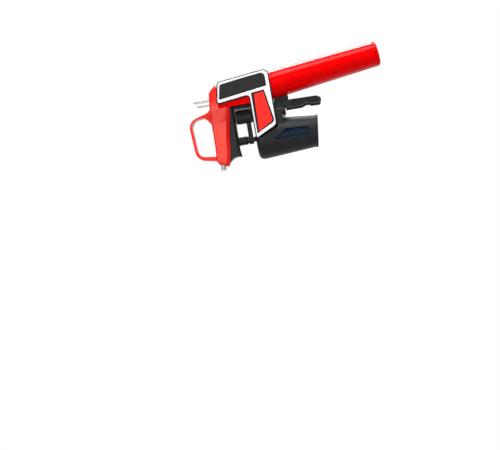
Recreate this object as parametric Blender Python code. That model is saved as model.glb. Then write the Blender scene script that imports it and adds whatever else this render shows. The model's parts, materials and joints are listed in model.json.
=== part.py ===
"""Wine preservation dispenser, lowered on its clamp.

A clamp base grips a bottle neck with two sprung half sleeves. It carries two flat
rails, and the dispenser body slides on them and drives a hollow needle through the
cork. Metres, +Z up the needle axis, +X towards the handle, and the origin on the
needle axis at the top of the clamp sleeve.
"""

import math

import bmesh
import bpy
from mathutils import Matrix, Vector

# Fits and mesh steps
GAP = 0.0003
OVERRUN = 0.001
MERGE = 0.000001
SMOOTH_ANGLE = math.radians(32)
MANIFOLD_PIECES = ("body_housing", "head_shell", "side_plate")
ARC_STEPS = 5
TURN_STEPS = 40
FINE_STEPS = 20

# Clamp sleeve, split into two jaws at Y = 0
SLEEVE_TOP_Z = 0.0
SLEEVE_MOUTH_Z = -0.0652
SLEEVE_SHOULDER_RADIUS = 0.0213
SLEEVE_SHOULDER_X = -0.0011
SLEEVE_MOUTH_RADIUS = 0.0163
SLEEVE_SHOULDER_DROP = 0.0075
SLEEVE_MOUTH_X = -0.0023
SLEEVE_BORE_RADIUS = 0.0140
SLEEVE_BORE_X = -0.0009
SLEEVE_CAP = 0.0026
SLEEVE_SPLIT = 0.0008
SLEEVE_RIM = 0.0006
SLEEVE_RIM_HEIGHT = 0.0018
SLEEVE_MOUTH_SLOPE = -0.126
NEEDLE_PASSAGE_RADIUS = 0.0066
SHOULDER_SHARES = ((0.0, 1.0), (0.30, 0.985), (0.62, 0.90), (0.85, 0.70), (0.96, 0.40), (1.0, 0.0))
WINDOW_LENGTH = 0.0375
WINDOW_HEIGHT = 0.0092
WINDOW_TOP_Z = -0.0190
WINDOW_CENTRE_X = -0.0008
WINDOW_SHARES = (
    (-0.45, 0.0, 0.0),
    (-0.52, 0.10, 0.0012),
    (-0.46, 0.96, 0.0015),
    (0.10, 1.0, 0.0018),
    (0.42, 0.92, 0.0022),
    (0.52, 0.36, 0.0030),
)
PAD_THICKNESS = 0.0011
PAD_TOP_Z = -0.0060
PAD_BOTTOM_Z = -0.0620

# Jaw hinge and pinch levers
HINGE_X = 0.0235
HINGE_Y = 0.0120
KNUCKLE_RADIUS = 0.0042
KNUCKLE_BOTTOM_Z = -0.0312
PIN_RADIUS = 0.0015
PIN_HEAD_RADIUS = 0.0025
PIN_HEAD_HEIGHT = 0.0008
PIN_DEPTH = 0.0090
LUG_THICKNESS = 0.0023
LUG_LEFT_X = 0.0205
ARM_INNER_Y = 0.0092
ARM_OUTER_Y = 0.0158
ARM_REACH_X = 0.0105
LEVER_INNER_Y = 0.0096
LEVER_THICKNESS = 0.0034
LEVER_LENGTH = 0.0488
LEVER_WIDTH = 0.0095
LEVER_LEFT_X = 0.0240
LEVER_SHARES = (
    (0.737, 0.0, 0.0012),
    (0.758, 0.170, 0.0040),
    (1.0, 0.348, 0.0080),
    (0.926, 0.914, 0.0030),
    (0.668, 1.0, 0.0020),
    (0.326, 1.0, 0.0015),
    (0.168, 0.968, 0.0008),
    (0.200, 0.775, 0.0010),
    (0.337, 0.758, 0.0008),
    (0.358, 0.680, 0.0008),
    (0.168, 0.580, 0.0015),
    (0.168, 0.236, 0.0006),
    (0.430, 0.236, 0.0),
    (0.430, 0.145, 0.0),
    (0.0, 0.145, 0.0),
    (0.0, 0.0, 0.0),
)
RIB_COUNT = 3
RIB_WIDTH = 0.0009
RIB_PROUD = 0.0006
RIB_END_SHARE = 0.92
SPRING_BOSS_RADIUS = 0.0034
SPRING_BOSS_PROUD = 0.0012
SPRING_BOSS_X = 0.0290
SPRING_BOSS_Z = -0.0280

# Clamp spring, across the web from lever to lever
CLAMP_SPRING_RADIUS = 0.0023
CLAMP_SPRING_WIRE = 0.0007
CLAMP_SPRING_TURNS = 10

# Slide rails and the yoke arms that carry them
RAIL_X = 0.0442
RAIL_WIDTH = 0.0026
RAIL_THICKNESS = 0.0020
RAIL_INNER_Y = 0.0153
RAIL_TOP_Z = 0.0593
RAIL_TIP_DROP = 0.0024
RAIL_TAB_LENGTH = 0.0075
RAIL_TAB_WIDTH = 0.0018
YOKE_END_WALL = 0.0012

# Base frame
SADDLE_LEFT_X = 0.0185
SADDLE_RIGHT_X = 0.0330
SADDLE_TOP_Z = -0.0120
SADDLE_BOTTOM_Z = -0.0238
SPINE_HALF_WIDTH = 0.0060
SPINE_TOP_Z = 0.0040
WEB_LEFT_X = 0.0262
FOOT_BOTTOM_Z = -0.0398
FOOT_TOP_Z = -0.0246
FOOT_LEFT_X = 0.0327
FOOT_CLEARANCE = 0.0007
FOOT_CORNER = 0.0012
BOSS_X = 0.0250
BOSS_RADIUS = 0.0074
BOSS_BOTTOM_Z = 0.0016
BOSS_TOP_Z = 0.0157
BOSS_BORE_RADIUS = 0.0022
BOSS_BORE_DEPTH = 0.0080
ARM_HALF_WIDTH = 0.0024
ARM_TOP_Z = 0.0077
ARM_BOTTOM_Z = 0.0030
EYE_RADIUS = 0.0046
EYE_BORE_RADIUS = 0.0029
GUIDE_BORE_RADIUS = 0.0014
GUIDE_FLANGE_RADIUS = 0.0040
GUIDE_FLANGE_HEIGHT = 0.0005
GUIDE_FOOT_RADIUS = 0.0052
GUIDE_FOOT_HEIGHT = 0.0018
GUIDE_STEM_RADIUS = 0.0025
BUMPER_HEIGHT = 0.0019

# T-shaped side: plate, trim, grip panel and inset panel, in layers
PLATE_LEFT_X = -0.0009
PLATE_LENGTH = 0.0680
PLATE_BOTTOM_Z = -0.0232
PLATE_HEIGHT = 0.0563
PLATE_INNER_Y = 0.0176
PLATE_THICKNESS = 0.0020
PLATE_BORDER = 0.0011
TRIM_THICKNESS = 0.0011
GRIP_THICKNESS = 0.0009
INSET_THICKNESS = 0.0005
PANEL_GAP = 0.0003
EDGE_ROUND = 0.0003
TRIM_SHARES = (
    (0.610, 1.000, 0.0015),
    (0.919, 0.940, 0.0030),
    (0.953, 0.572, 0.0),
    (1.000, 0.009, 0.0050),
    (0.153, 0.000, 0.0050),
    (0.000, 0.384, 0.0008),
    (0.669, 0.393, 0.0040),
)
GRIP_WINDOW_SHARES = (
    (0.659, 0.961, 0.0008),
    (0.884, 0.909, 0.0025),
    (0.922, 0.572, 0.0),
    (0.968, 0.067, 0.0045),
    (0.756, 0.067, 0.0010),
)
STEM_WINDOW_SHARES = (
    (0.682, 0.362, 0.0004),
    (0.703, 0.123, 0.0006),
    (0.204, 0.016, 0.0040),
    (0.060, 0.362, 0.0004),
)
INSET_SHARES = (
    (0.663, 0.318, 0.0005),
    (0.680, 0.140, 0.0005),
    (0.222, 0.047, 0.0034),
    (0.088, 0.328, 0.0005),
)
SCREW_X = 0.0513
SCREW_SPOTS_Z = {"upper": 0.0235, "lower": -0.0085}
SCREW_RADIUS = 0.0011
SCREW_HEAD_RADIUS = 0.0021
SCREW_HEAD_HEIGHT = 0.0011
SCREW_DEPTH = 0.0055

# Handle axis: it leans away from the needle axis as it goes down
HANDLE_X = 0.0529
HANDLE_Z = -0.0228
HANDLE_TILT = math.radians(6.9)
COLLAR_RADIUS = 0.0148
COLLAR_TOP = 0.0005
COLLAR_LENGTH = 0.0165
SPIGOT_RADIUS = 0.0122
SPIGOT_LENGTH = 0.0080
CUP_TOP_RADIUS = 0.0146
CUP_END_RADIUS = 0.0129
CUP_LENGTH = 0.1008
CUP_ROUND = 0.0032
CUP_BORE_RADIUS = 0.0113
CUP_FLOOR = 0.0076
CUP_END_SHARES = ((0.0, 1.0), (0.50, 0.975), (0.80, 0.88), (0.93, 0.66), (0.985, 0.32), (1.0, 0.0))
VENT_RADIUS = 0.0012
VENT_HEIGHT = 0.0038
VENT_PAIRS = 3
RELIEF_RADIUS = 0.0060
RELIEF_FLOOR = 0.0024
CUP_PAD_HEIGHT = 0.0016
CUP_PAD_RADIUS = 0.0090

# Gas capsule
CAPSULE_RADIUS = 0.0110
CAPSULE_NECK_RADIUS = 0.0043
CAPSULE_NECK_LENGTH = 0.0072
CAPSULE_SHOULDER = 0.0110
CAPSULE_BASE_ROUND = 0.0050
CAPSULE_WALL = 0.0016
CAPSULE_HOLE_RADIUS = 0.0015

# Regulator, in the collar
REGULATOR_RADIUS = 0.0089
REGULATOR_CAP_RADIUS = 0.0072
REGULATOR_WAIST = 0.0020
REGULATOR_BOTTOM = 0.0240
REGULATOR_TOP = 0.0180
REGULATOR_WALL = 0.0020
SOCKET_RADIUS = 0.0050
SOCKET_DEPTH = 0.0070
PIERCE_WEB = 0.0040
PIERCE_PIN_RADIUS = 0.0012
PIERCE_PIN_REACH = 0.0026
PIERCE_HEAD_RADIUS = 0.0030
PIERCE_HEAD_HEIGHT = 0.0010
SEAL_HEIGHT = 0.0022
SEAL_BORE_RADIUS = 0.0020
PISTON_HEIGHT = 0.0040
REGULATOR_SPRING_RADIUS = 0.0041
REGULATOR_SPRING_WIRE = 0.0009
REGULATOR_SPRING_TURNS = 7

# Red housing between the side plates
HOUSING_LEFT_X = 0.0360
HOUSING_TOP_Z = 0.0324
CORE_HALF_WIDTH = 0.0125
CHEEK_HALF_WIDTH = 0.0150
CHEEK_RIGHT_X = 0.0538
CORE_TOP_X = 0.0555
CORE_SIDE_X = 0.0598
CORE_TURN_Z = -0.0185
HOUSING_END_X = 0.0668
RAIL_SIDE_GAP = 0.0003
PAD_LEFT_BOTTOM_Z = -0.0110

# Dark liner on the housing's face beside the clamp
LINER_THICKNESS = 0.0024
LINER_HALF_WIDTH = 0.0140
LINER_BOTTOM_Z = -0.0105

# Trigger and gas valve
TRIGGER_HALF_WIDTH = 0.0146
TRIGGER_WALL = 0.0015
TRIGGER_WEB = 0.0022
TRIGGER_LEFT_X = 0.0574
TRIGGER_WIDTH = 0.0120
TRIGGER_BOTTOM_Z = -0.0186
TRIGGER_HEIGHT = 0.0486
TRIGGER_SHARES = (
    (0.16, 0.975, 0.0006),
    (0.42, 1.0, 0.0016),
    (0.745, 0.56, 0.0),
    (1.0, 0.02, 0.0024),
    (0.80, 0.0, 0.0020),
    (0.10, 0.06, 0.0022),
    (0.10, 0.24, 0.0020),
    (0.36, 0.34, 0.0),
)
TRIGGER_PIN_X = 0.0615
TRIGGER_PIN_Z = -0.0125
TRIGGER_PIN_RADIUS = 0.0013
TRIGGER_LUG_RADIUS = 0.0028
VALVE_Z = 0.0120
VALVE_RADIUS = 0.0040
VALVE_LEFT_X = 0.0455
VALVE_LENGTH = 0.0128
VALVE_WALL = 0.0015
VALVE_CHAMBER_RADIUS = 0.0030
STEM_RADIUS = 0.0013
STEM_FLANGE_RADIUS = 0.0026
STEM_FLANGE = 0.0009
STEM_BUTTON_RADIUS = 0.0022
STEM_BUTTON = 0.0009
STEM_TAIL = 0.0056
STEM_END_X = 0.0630
VALVE_SPRING_RADIUS = 0.0022
VALVE_SPRING_WIRE = 0.0005
VALVE_SPRING_TURNS = 5
VALVE_SPRING_LENGTH = 0.0056
GAS_TUBE_RADIUS = 0.0012
GAS_TUBE_X = 0.0402
GAS_TUBE_Z = 0.0310
GAS_TUBE_BEND = 0.0030
PASSAGE_RADIUS = 0.0012

# Head with its finger loop; each section runs from a bottom point to a top point
HEAD_LEFT_X = -0.0239
HEAD_LENGTH = 0.0840
HEAD_BOTTOM_Z = 0.0186
HEAD_HEIGHT = 0.0264
HEAD_HALF_WIDTH = 0.0196
HEAD_BEVEL_HEIGHT = 0.0036
HEAD_BEVEL_INSET = 0.0026
HEAD_TOP_ROUND = 0.0016
HEAD_SECTION_SHARES = (
    # top x, top z, bottom x, bottom z, half width
    (1.000, 0.555, 1.000, 0.120, 0.94),
    (0.956, 0.715, 0.956, 0.120, 1.00),
    (0.923, 0.815, 0.923, 0.120, 1.00),
    (0.887, 0.850, 0.887, 0.120, 1.00),
    (0.804, 0.875, 0.804, 0.120, 1.00),
    (0.725, 0.897, 0.718, 0.118, 0.97),
    (0.642, 0.912, 0.642, 0.138, 0.85),
    (0.546, 0.925, 0.546, 0.205, 0.70),
    (0.427, 0.935, 0.427, 0.285, 0.58),
    (0.285, 0.947, 0.285, 0.342, 0.50),
    (0.180, 0.965, 0.187, 0.378, 0.46),
    (0.094, 1.000, 0.052, 0.452, 0.41),
    (0.036, 0.902, 0.000, 0.530, 0.33),
)
LOOP_HALF_WIDTH = 0.0065
LOOP_LEFT_X = -0.0165
LOOP_LENGTH = 0.0530
LOOP_BOTTOM_Z = 0.0410
LOOP_HEIGHT = 0.0267
LOOP_SHARES = (
    (1.060, 0.0, 0.0),
    (1.020, 0.10, 0.0),
    (0.966, 0.19, 0.0060),
    (0.850, 1.0, 0.0110),
    (0.075, 0.895, 0.0110),
    (0.010, 0.20, 0.0),
    (0.0, 0.0, 0.0),
)
LOOP_HOLE_SHARES = (
    (0.083, 0.105, 0.0008),
    (0.720, 0.105, 0.0040),
    (0.893, 0.34, 0.0060),
    (0.850, 0.905, 0.0085),
    (0.130, 0.805, 0.0085),
)
SPOUT_RADIUS = 0.00285
SPOUT_BORE_RADIUS = 0.0021
SPOUT_X = -0.0215
SPOUT_Z = 0.0384
SPOUT_TILT = math.radians(9.3)
SPOUT_PROUD = 0.0056
SPOUT_SEAT = 0.0150
SPOUT_SEAL = 0.0012

# Dark wedge under the head
WEDGE_INSET = 0.0028
WEDGE_BEVEL_HEIGHT = 0.0022
WEDGE_BEVEL_INSET = 0.0022
WEDGE_TIP_X = -0.0162
WEDGE_TIP_Z = 0.0174
WEDGE_ARC_RADIUS = 0.0110
WEDGE_ARC_SAG = 0.0022

# Needle and its hub
HUB_RADIUS = 0.0045
HUB_BOTTOM_Z = 0.0085
HUB_NOSE = 0.0012
HUB_STUD_RADIUS = 0.0022
HUB_STUD_LENGTH = 0.0054
HUB_GROOVES = 2
HUB_GROOVE_DEPTH = 0.0004
HUB_GROOVE_WIDTH = 0.0008
NEEDLE_RADIUS = 0.0010
NEEDLE_TIP_Z = -0.0580
NEEDLE_POINT = 0.0050
NEEDLE_PORT_LENGTH = 0.0040
HUB_SEAL = 0.0010

# Finishes: colour, roughness, metallic
RED = ("red_gloss", (0.72, 0.004, 0.008, 1.0), 0.22, 0.0)
CHARCOAL = ("charcoal_plastic", (0.030, 0.031, 0.032, 1.0), 0.42, 0.0)
BLACK = ("black_plastic", (0.008, 0.008, 0.009, 1.0), 0.35, 0.0)
STEEL = ("polished_steel", (0.62, 0.61, 0.59, 1.0), 0.16, 1.0)
SILVER = ("satin_silver", (0.80, 0.81, 0.81, 1.0), 0.22, 0.75)
BRASS = ("turned_brass", (0.60, 0.44, 0.18, 1.0), 0.28, 1.0)
NAVY = ("navy_rubber", (0.006, 0.016, 0.050, 1.0), 0.55, 0.0)
RUBBER = ("black_rubber", (0.012, 0.012, 0.012, 1.0), 0.70, 0.0)

# Places that follow from the sizes above
PIN_SPOTS = ((HINGE_X, HINGE_Y), (HINGE_X, -HINGE_Y))
RAIL_OUTER_Y = RAIL_INNER_Y + RAIL_THICKNESS
RAIL_RIGHT_X = RAIL_X + RAIL_WIDTH
YOKE_END_X = RAIL_X + RAIL_WIDTH / 2 + RAIL_TAB_WIDTH / 2 + GAP + YOKE_END_WALL
PLATE_OUTER_Y = PLATE_INNER_Y + PLATE_THICKNESS
LUG_TOP_Z = KNUCKLE_BOTTOM_Z - GAP
LUG_BOTTOM_Z = LUG_TOP_Z - LUG_THICKNESS
KNUCKLE_TOP_Z = SADDLE_BOTTOM_Z - GAP
PAD_BORE_RADIUS = SLEEVE_BORE_RADIUS - GAP - PAD_THICKNESS
HANDLE_FRAME = Matrix.Translation((HANDLE_X, 0, HANDLE_Z)) @ Matrix.Rotation(-HANDLE_TILT, 4, "Y")
CUP_TOP = -COLLAR_LENGTH - GAP
CUP_END = CUP_TOP - CUP_LENGTH
CUP_FLOOR_TOP = CUP_END + CUP_FLOOR
CAPSULE_BASE = CUP_FLOOR_TOP + CUP_PAD_HEIGHT + 2 * GAP
SOCKET_TOP = -REGULATOR_BOTTOM + SOCKET_DEPTH
CAPSULE_TOP = SOCKET_TOP - SEAL_HEIGHT - 2 * GAP
CHAMBER_BOTTOM = SOCKET_TOP + PIERCE_WEB
CHAMBER_RADIUS = REGULATOR_CAP_RADIUS - REGULATOR_WALL
VALVE_RIGHT_X = VALVE_LEFT_X + VALVE_LENGTH
HUB_TOP_Z = HEAD_BOTTOM_Z - GAP
STUD_TOP_Z = HUB_TOP_Z + HUB_STUD_LENGTH
TUBE_END_Z = STUD_TOP_Z + HUB_SEAL + 2 * GAP


def finish_material(finish):
    """The Principled material of a finish, made once and shared."""
    name, colour, roughness, metallic = finish
    material = bpy.data.materials.get(name)
    if material is None:
        material = bpy.data.materials.new(name)
        material.use_nodes = True
        shader = material.node_tree.nodes["Principled BSDF"]
        shader.inputs["Base Color"].default_value = colour
        shader.inputs["Roughness"].default_value = roughness
        shader.inputs["Metallic"].default_value = metallic
        material.diffuse_color = colour
    return material


def node(name, shape, finish, origin=(0, 0, 0)):
    """A named piece with its origin on its joint or seat."""
    bmesh.ops.translate(shape, verts=shape.verts, vec=-Vector(origin))
    mesh = bpy.data.meshes.new(name)
    shape.to_mesh(mesh)
    shape.free()
    mesh.shade_smooth()
    mesh.set_sharp_from_angle(angle=SMOOTH_ANGLE)
    mesh.materials.append(finish_material(finish))
    piece = bpy.data.objects.new(name, mesh)
    piece.location = origin
    bpy.context.collection.objects.link(piece)
    return piece


def combine(piece, shapes, operation):
    """Add or cut shapes with live Booleans, from helpers that aren't built."""
    solver = "MANIFOLD" if piece.name.startswith(MANIFOLD_PIECES) else "EXACT"
    for number, shape in enumerate(shapes, len(piece.modifiers)):
        name = f"{piece.name}_{operation.lower()}_{number}"
        mesh = bpy.data.meshes.new(name)
        shape.to_mesh(mesh)
        shape.free()
        helper = bpy.data.objects.new(name, mesh)
        helper.hide_render = True
        helper.display_type = "WIRE"
        bpy.context.collection.objects.link(helper)
        modifier = piece.modifiers.new(name, "BOOLEAN")
        modifier.operation = operation
        modifier.solver = solver
        modifier.object = helper


def add(piece, *shapes):
    combine(piece, shapes, "UNION")


def cut(piece, *shapes):
    combine(piece, shapes, "DIFFERENCE")


def round_edges(piece, width):
    """A narrow bevel on the sharp edges, after the Booleans."""
    bevel = piece.modifiers.new("edge_round", "BEVEL")
    bevel.width = width
    bevel.segments = 1
    bevel.limit_method = "ANGLE"
    bevel.angle_limit = math.radians(50)


def rounded(corners, steps=ARC_STEPS):
    """The outline through (x, z, radius) corners, with an arc at each radius."""
    points = []
    for index, (x, z, radius) in enumerate(corners):
        corner = Vector((x, z))
        before = (Vector(corners[index - 1][:2]) - corner).normalized()
        after = (Vector(corners[(index + 1) % len(corners)][:2]) - corner).normalized()
        half = before.angle(after) / 2
        if radius <= 0 or half > math.radians(88):
            points.append(corner)
            continue
        centre = corner + (before + after).normalized() * (radius / math.sin(half))
        start = corner + before * (radius / math.tan(half)) - centre
        finish = corner + after * (radius / math.tan(half)) - centre
        first = math.atan2(start.y, start.x)
        sweep = math.atan2(finish.y, finish.x) - first
        sweep = (sweep + math.pi) % (2 * math.pi) - math.pi
        for step in range(steps + 1):
            angle = first + sweep * step / steps
            points.append(centre + radius * Vector((math.cos(angle), math.sin(angle))))
    return [(point.x, point.y) for point in points]


def grown(corners, margin):
    """The same corners with every edge moved outwards by the margin."""
    points = [Vector(corner[:2]) for corner in corners]
    count = len(points)
    area = sum(points[i - 1].x * points[i].y - points[i].x * points[i - 1].y for i in range(count))
    turn = 1 if area > 0 else -1
    moved = []
    for index, point in enumerate(points):
        into = (point - points[index - 1]).normalized()
        out = (points[(index + 1) % count] - point).normalized()
        normal_in = turn * Vector((into.y, -into.x))
        normal_out = turn * Vector((out.y, -out.x))
        shift = (normal_in + normal_out) * margin / (1 + normal_in.dot(normal_out))
        convex = turn * (into.x * out.y - into.y * out.x) > 0
        radius = corners[index][2]
        if radius > 0:
            radius = max(radius + (margin if convex else -margin), 0)
        moved.append((point.x + shift.x, point.y + shift.y, radius))
    return moved


def placed(shares, left, bottom, length, height):
    """Corners whose x and z are shares of a length and a height."""
    return [(left + x * length, bottom + z * height, radius) for x, z, radius in shares]


def prism(outline, y_from, y_to):
    """An XZ outline pushed along Y."""
    shape = bmesh.new()
    face = shape.faces.new([shape.verts.new((x, y_from, z)) for x, z in outline])
    pushed = bmesh.ops.extrude_face_region(shape, geom=[face])["geom"]
    ends = [item for item in pushed if isinstance(item, bmesh.types.BMVert)]
    bmesh.ops.translate(shape, verts=ends, vec=(0, y_to - y_from, 0))
    bmesh.ops.recalc_face_normals(shape, faces=shape.faces)
    return shape


def block(x_from, x_to, y_from, y_to, z_from, z_to):
    outline = ((x_from, z_from), (x_to, z_from), (x_to, z_to), (x_from, z_to))
    return prism(outline, y_from, y_to)


def turned(profile, frame=Matrix(), steps=TURN_STEPS, ring=False):
    """A profile of (radius, height) points spun round the frame's Z axis."""
    shape = bmesh.new()
    verts = [shape.verts.new((radius, 0, height)) for radius, height in profile]
    edges = [shape.edges.new(pair) for pair in zip(verts, verts[1:])]
    if ring:
        edges.append(shape.edges.new((verts[-1], verts[0])))
    bmesh.ops.spin(
        shape, geom=verts + edges, cent=(0, 0, 0), axis=(0, 0, 1), dvec=(0, 0, 0),
        angle=2 * math.pi, steps=steps, use_merge=True, use_duplicate=False,
    )
    bmesh.ops.remove_doubles(shape, verts=shape.verts, dist=MERGE)
    bmesh.ops.recalc_face_normals(shape, faces=shape.faces)
    bmesh.ops.transform(shape, verts=shape.verts, matrix=frame)
    return shape


def rod(radius, start, end, steps=FINE_STEPS):
    """A round bar between two points."""
    start = Vector(start)
    along = Vector(end) - start
    frame = Matrix.Translation(start) @ along.to_track_quat("Z", "Y").to_matrix().to_4x4()
    profile = ((0, 0), (radius, 0), (radius, along.length), (0, along.length))
    return turned(profile, frame, steps)


def upright(x, y, z=0):
    return Matrix.Translation((x, y, z))


def lying(x, z):
    """A frame whose Z axis points along +X."""
    return Matrix.Translation((x, 0, z)) @ Matrix.Rotation(math.pi / 2, 4, "Y")


def loft(rings):
    """Closed rings bridged one to the next, with both ends filled."""
    shape = bmesh.new()
    loops = []
    for ring in rings:
        verts = [shape.verts.new(point) for point in ring]
        loops.append([shape.edges.new(pair) for pair in zip(verts, verts[1:] + verts[:1])])
    for first, second in zip(loops, loops[1:]):
        bmesh.ops.bridge_loops(shape, edges=first + second)
    bmesh.ops.contextual_create(shape, geom=loops[0])
    bmesh.ops.contextual_create(shape, geom=loops[-1])
    bmesh.ops.recalc_face_normals(shape, faces=shape.faces)
    return shape


def coil(name, finish, radius, wire, length, turns, frame):
    """An open coil spring along the frame's Z axis, as one unbroken tube."""
    points_per_turn = 8
    total = turns * points_per_turn
    curve = bpy.data.curves.new(name, "CURVE")
    curve.dimensions = "3D"
    curve.bevel_depth = wire / 2
    curve.bevel_resolution = 1
    curve.use_fill_caps = True
    spline = curve.splines.new("POLY")
    spline.points.add(total)
    climb = length - wire
    for index in range(total + 1):
        angle = 2 * math.pi * index / points_per_turn
        height = wire / 2 + climb * index / total
        place = frame @ Vector((radius * math.cos(angle), radius * math.sin(angle), height))
        spline.points[index].co = (*place, 1)
    print(f"{name}: least gap between turns {(climb / turns - wire) * 1000:.2f} mm")
    curve.materials.append(finish_material(finish))
    spring = bpy.data.objects.new(name, curve)
    bpy.context.collection.objects.link(spring)
    return spring


def handle_x(height, offset):
    """X of a line beside the handle axis, at a world height."""
    return HANDLE_X - (height - HANDLE_Z) * math.tan(HANDLE_TILT) + offset / math.cos(HANDLE_TILT)


def side_corners(shares):
    return placed(shares, PLATE_LEFT_X, PLATE_BOTTOM_Z, PLATE_LENGTH, PLATE_HEIGHT)


def build_base_frame():
    """The moulded frame: boss, spine, saddle, yoke, lugs, foot and needle arm."""
    foot_top_x = handle_x(FOOT_TOP_Z, -COLLAR_RADIUS - FOOT_CLEARANCE)
    foot_low_x = handle_x(FOOT_BOTTOM_Z, -COLLAR_RADIUS - FOOT_CLEARANCE)
    spine = rounded((
        (BOSS_X - BOSS_RADIUS + OVERRUN, SPINE_TOP_Z, 0),
        (BOSS_X + BOSS_RADIUS - OVERRUN, SPINE_TOP_Z, FOOT_CORNER),
        (SADDLE_RIGHT_X, SADDLE_TOP_Z, 0),
        (SADDLE_RIGHT_X, FOOT_TOP_Z, FOOT_CORNER),
        (foot_top_x, FOOT_TOP_Z, FOOT_CORNER),
        (foot_low_x, FOOT_BOTTOM_Z, FOOT_CORNER),
        (FOOT_LEFT_X, FOOT_BOTTOM_Z, FOOT_CORNER),
        (FOOT_LEFT_X, LUG_BOTTOM_Z, FOOT_CORNER),
        (WEB_LEFT_X, LUG_BOTTOM_Z, 0),
        (WEB_LEFT_X, SADDLE_BOTTOM_Z, 0),
        (SADDLE_LEFT_X, SADDLE_BOTTOM_Z, 0),
        (SADDLE_LEFT_X, SADDLE_TOP_Z, 0),
    ))
    frame = node("base_frame", prism(spine, -SPINE_HALF_WIDTH, SPINE_HALF_WIDTH), CHARCOAL)
    yoke_top = SADDLE_TOP_Z - GAP
    yoke_bottom = SADDLE_TOP_Z - RAIL_TAB_LENGTH - GAP - YOKE_END_WALL
    add(
        frame,
        rod(BOSS_RADIUS, (BOSS_X, 0, BOSS_BOTTOM_Z), (BOSS_X, 0, BOSS_TOP_Z), TURN_STEPS),
        block(SADDLE_LEFT_X, SADDLE_RIGHT_X, -RAIL_OUTER_Y, RAIL_OUTER_Y, SADDLE_BOTTOM_Z, SADDLE_TOP_Z),
        block(
            LUG_LEFT_X, WEB_LEFT_X + OVERRUN, -HINGE_Y, HINGE_Y, LUG_BOTTOM_Z, LUG_TOP_Z
        ),
        block(0, BOSS_X - BOSS_RADIUS + OVERRUN, -ARM_HALF_WIDTH, ARM_HALF_WIDTH, ARM_BOTTOM_Z, ARM_TOP_Z),
        rod(EYE_RADIUS, (0, 0, ARM_BOTTOM_Z), (0, 0, ARM_TOP_Z), TURN_STEPS),
    )
    for side in (1, -1):
        add(
            frame,
            block(
                SADDLE_RIGHT_X - OVERRUN, YOKE_END_X, side * RAIL_INNER_Y, side * RAIL_OUTER_Y,
                yoke_bottom, yoke_top,
            ),
            rod(KNUCKLE_RADIUS, (HINGE_X, side * HINGE_Y, LUG_BOTTOM_Z), (HINGE_X, side * HINGE_Y, LUG_TOP_Z)),
        )
    tab_left = RAIL_X + (RAIL_WIDTH - RAIL_TAB_WIDTH) / 2 - GAP
    tab_right = RAIL_X + (RAIL_WIDTH + RAIL_TAB_WIDTH) / 2 + GAP
    for x, y in PIN_SPOTS:
        cut(frame, rod(
            PIN_RADIUS + GAP, (x, y, LUG_BOTTOM_Z - OVERRUN), (x, y, SADDLE_BOTTOM_Z + PIN_DEPTH + GAP)
        ))
    for side in (1, -1):
        cut(frame, block(
            tab_left, tab_right, side * (RAIL_INNER_Y - OVERRUN), side * (RAIL_OUTER_Y + OVERRUN),
            SADDLE_TOP_Z - RAIL_TAB_LENGTH - GAP, SADDLE_TOP_Z + OVERRUN,
        ))
    spring_bore = CLAMP_SPRING_RADIUS + CLAMP_SPRING_WIRE / 2 + GAP
    cut(
        frame,
        rod(EYE_BORE_RADIUS, (0, 0, ARM_BOTTOM_Z - OVERRUN), (0, 0, ARM_TOP_Z + OVERRUN)),
        rod(
            spring_bore, (SPRING_BOSS_X, -SPINE_HALF_WIDTH - OVERRUN, SPRING_BOSS_Z),
            (SPRING_BOSS_X, SPINE_HALF_WIDTH + OVERRUN, SPRING_BOSS_Z),
        ),
        rod(BOSS_BORE_RADIUS, (BOSS_X, 0, BOSS_TOP_Z - BOSS_BORE_DEPTH), (BOSS_X, 0, BOSS_TOP_Z + OVERRUN)),
    )
    return frame


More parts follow.
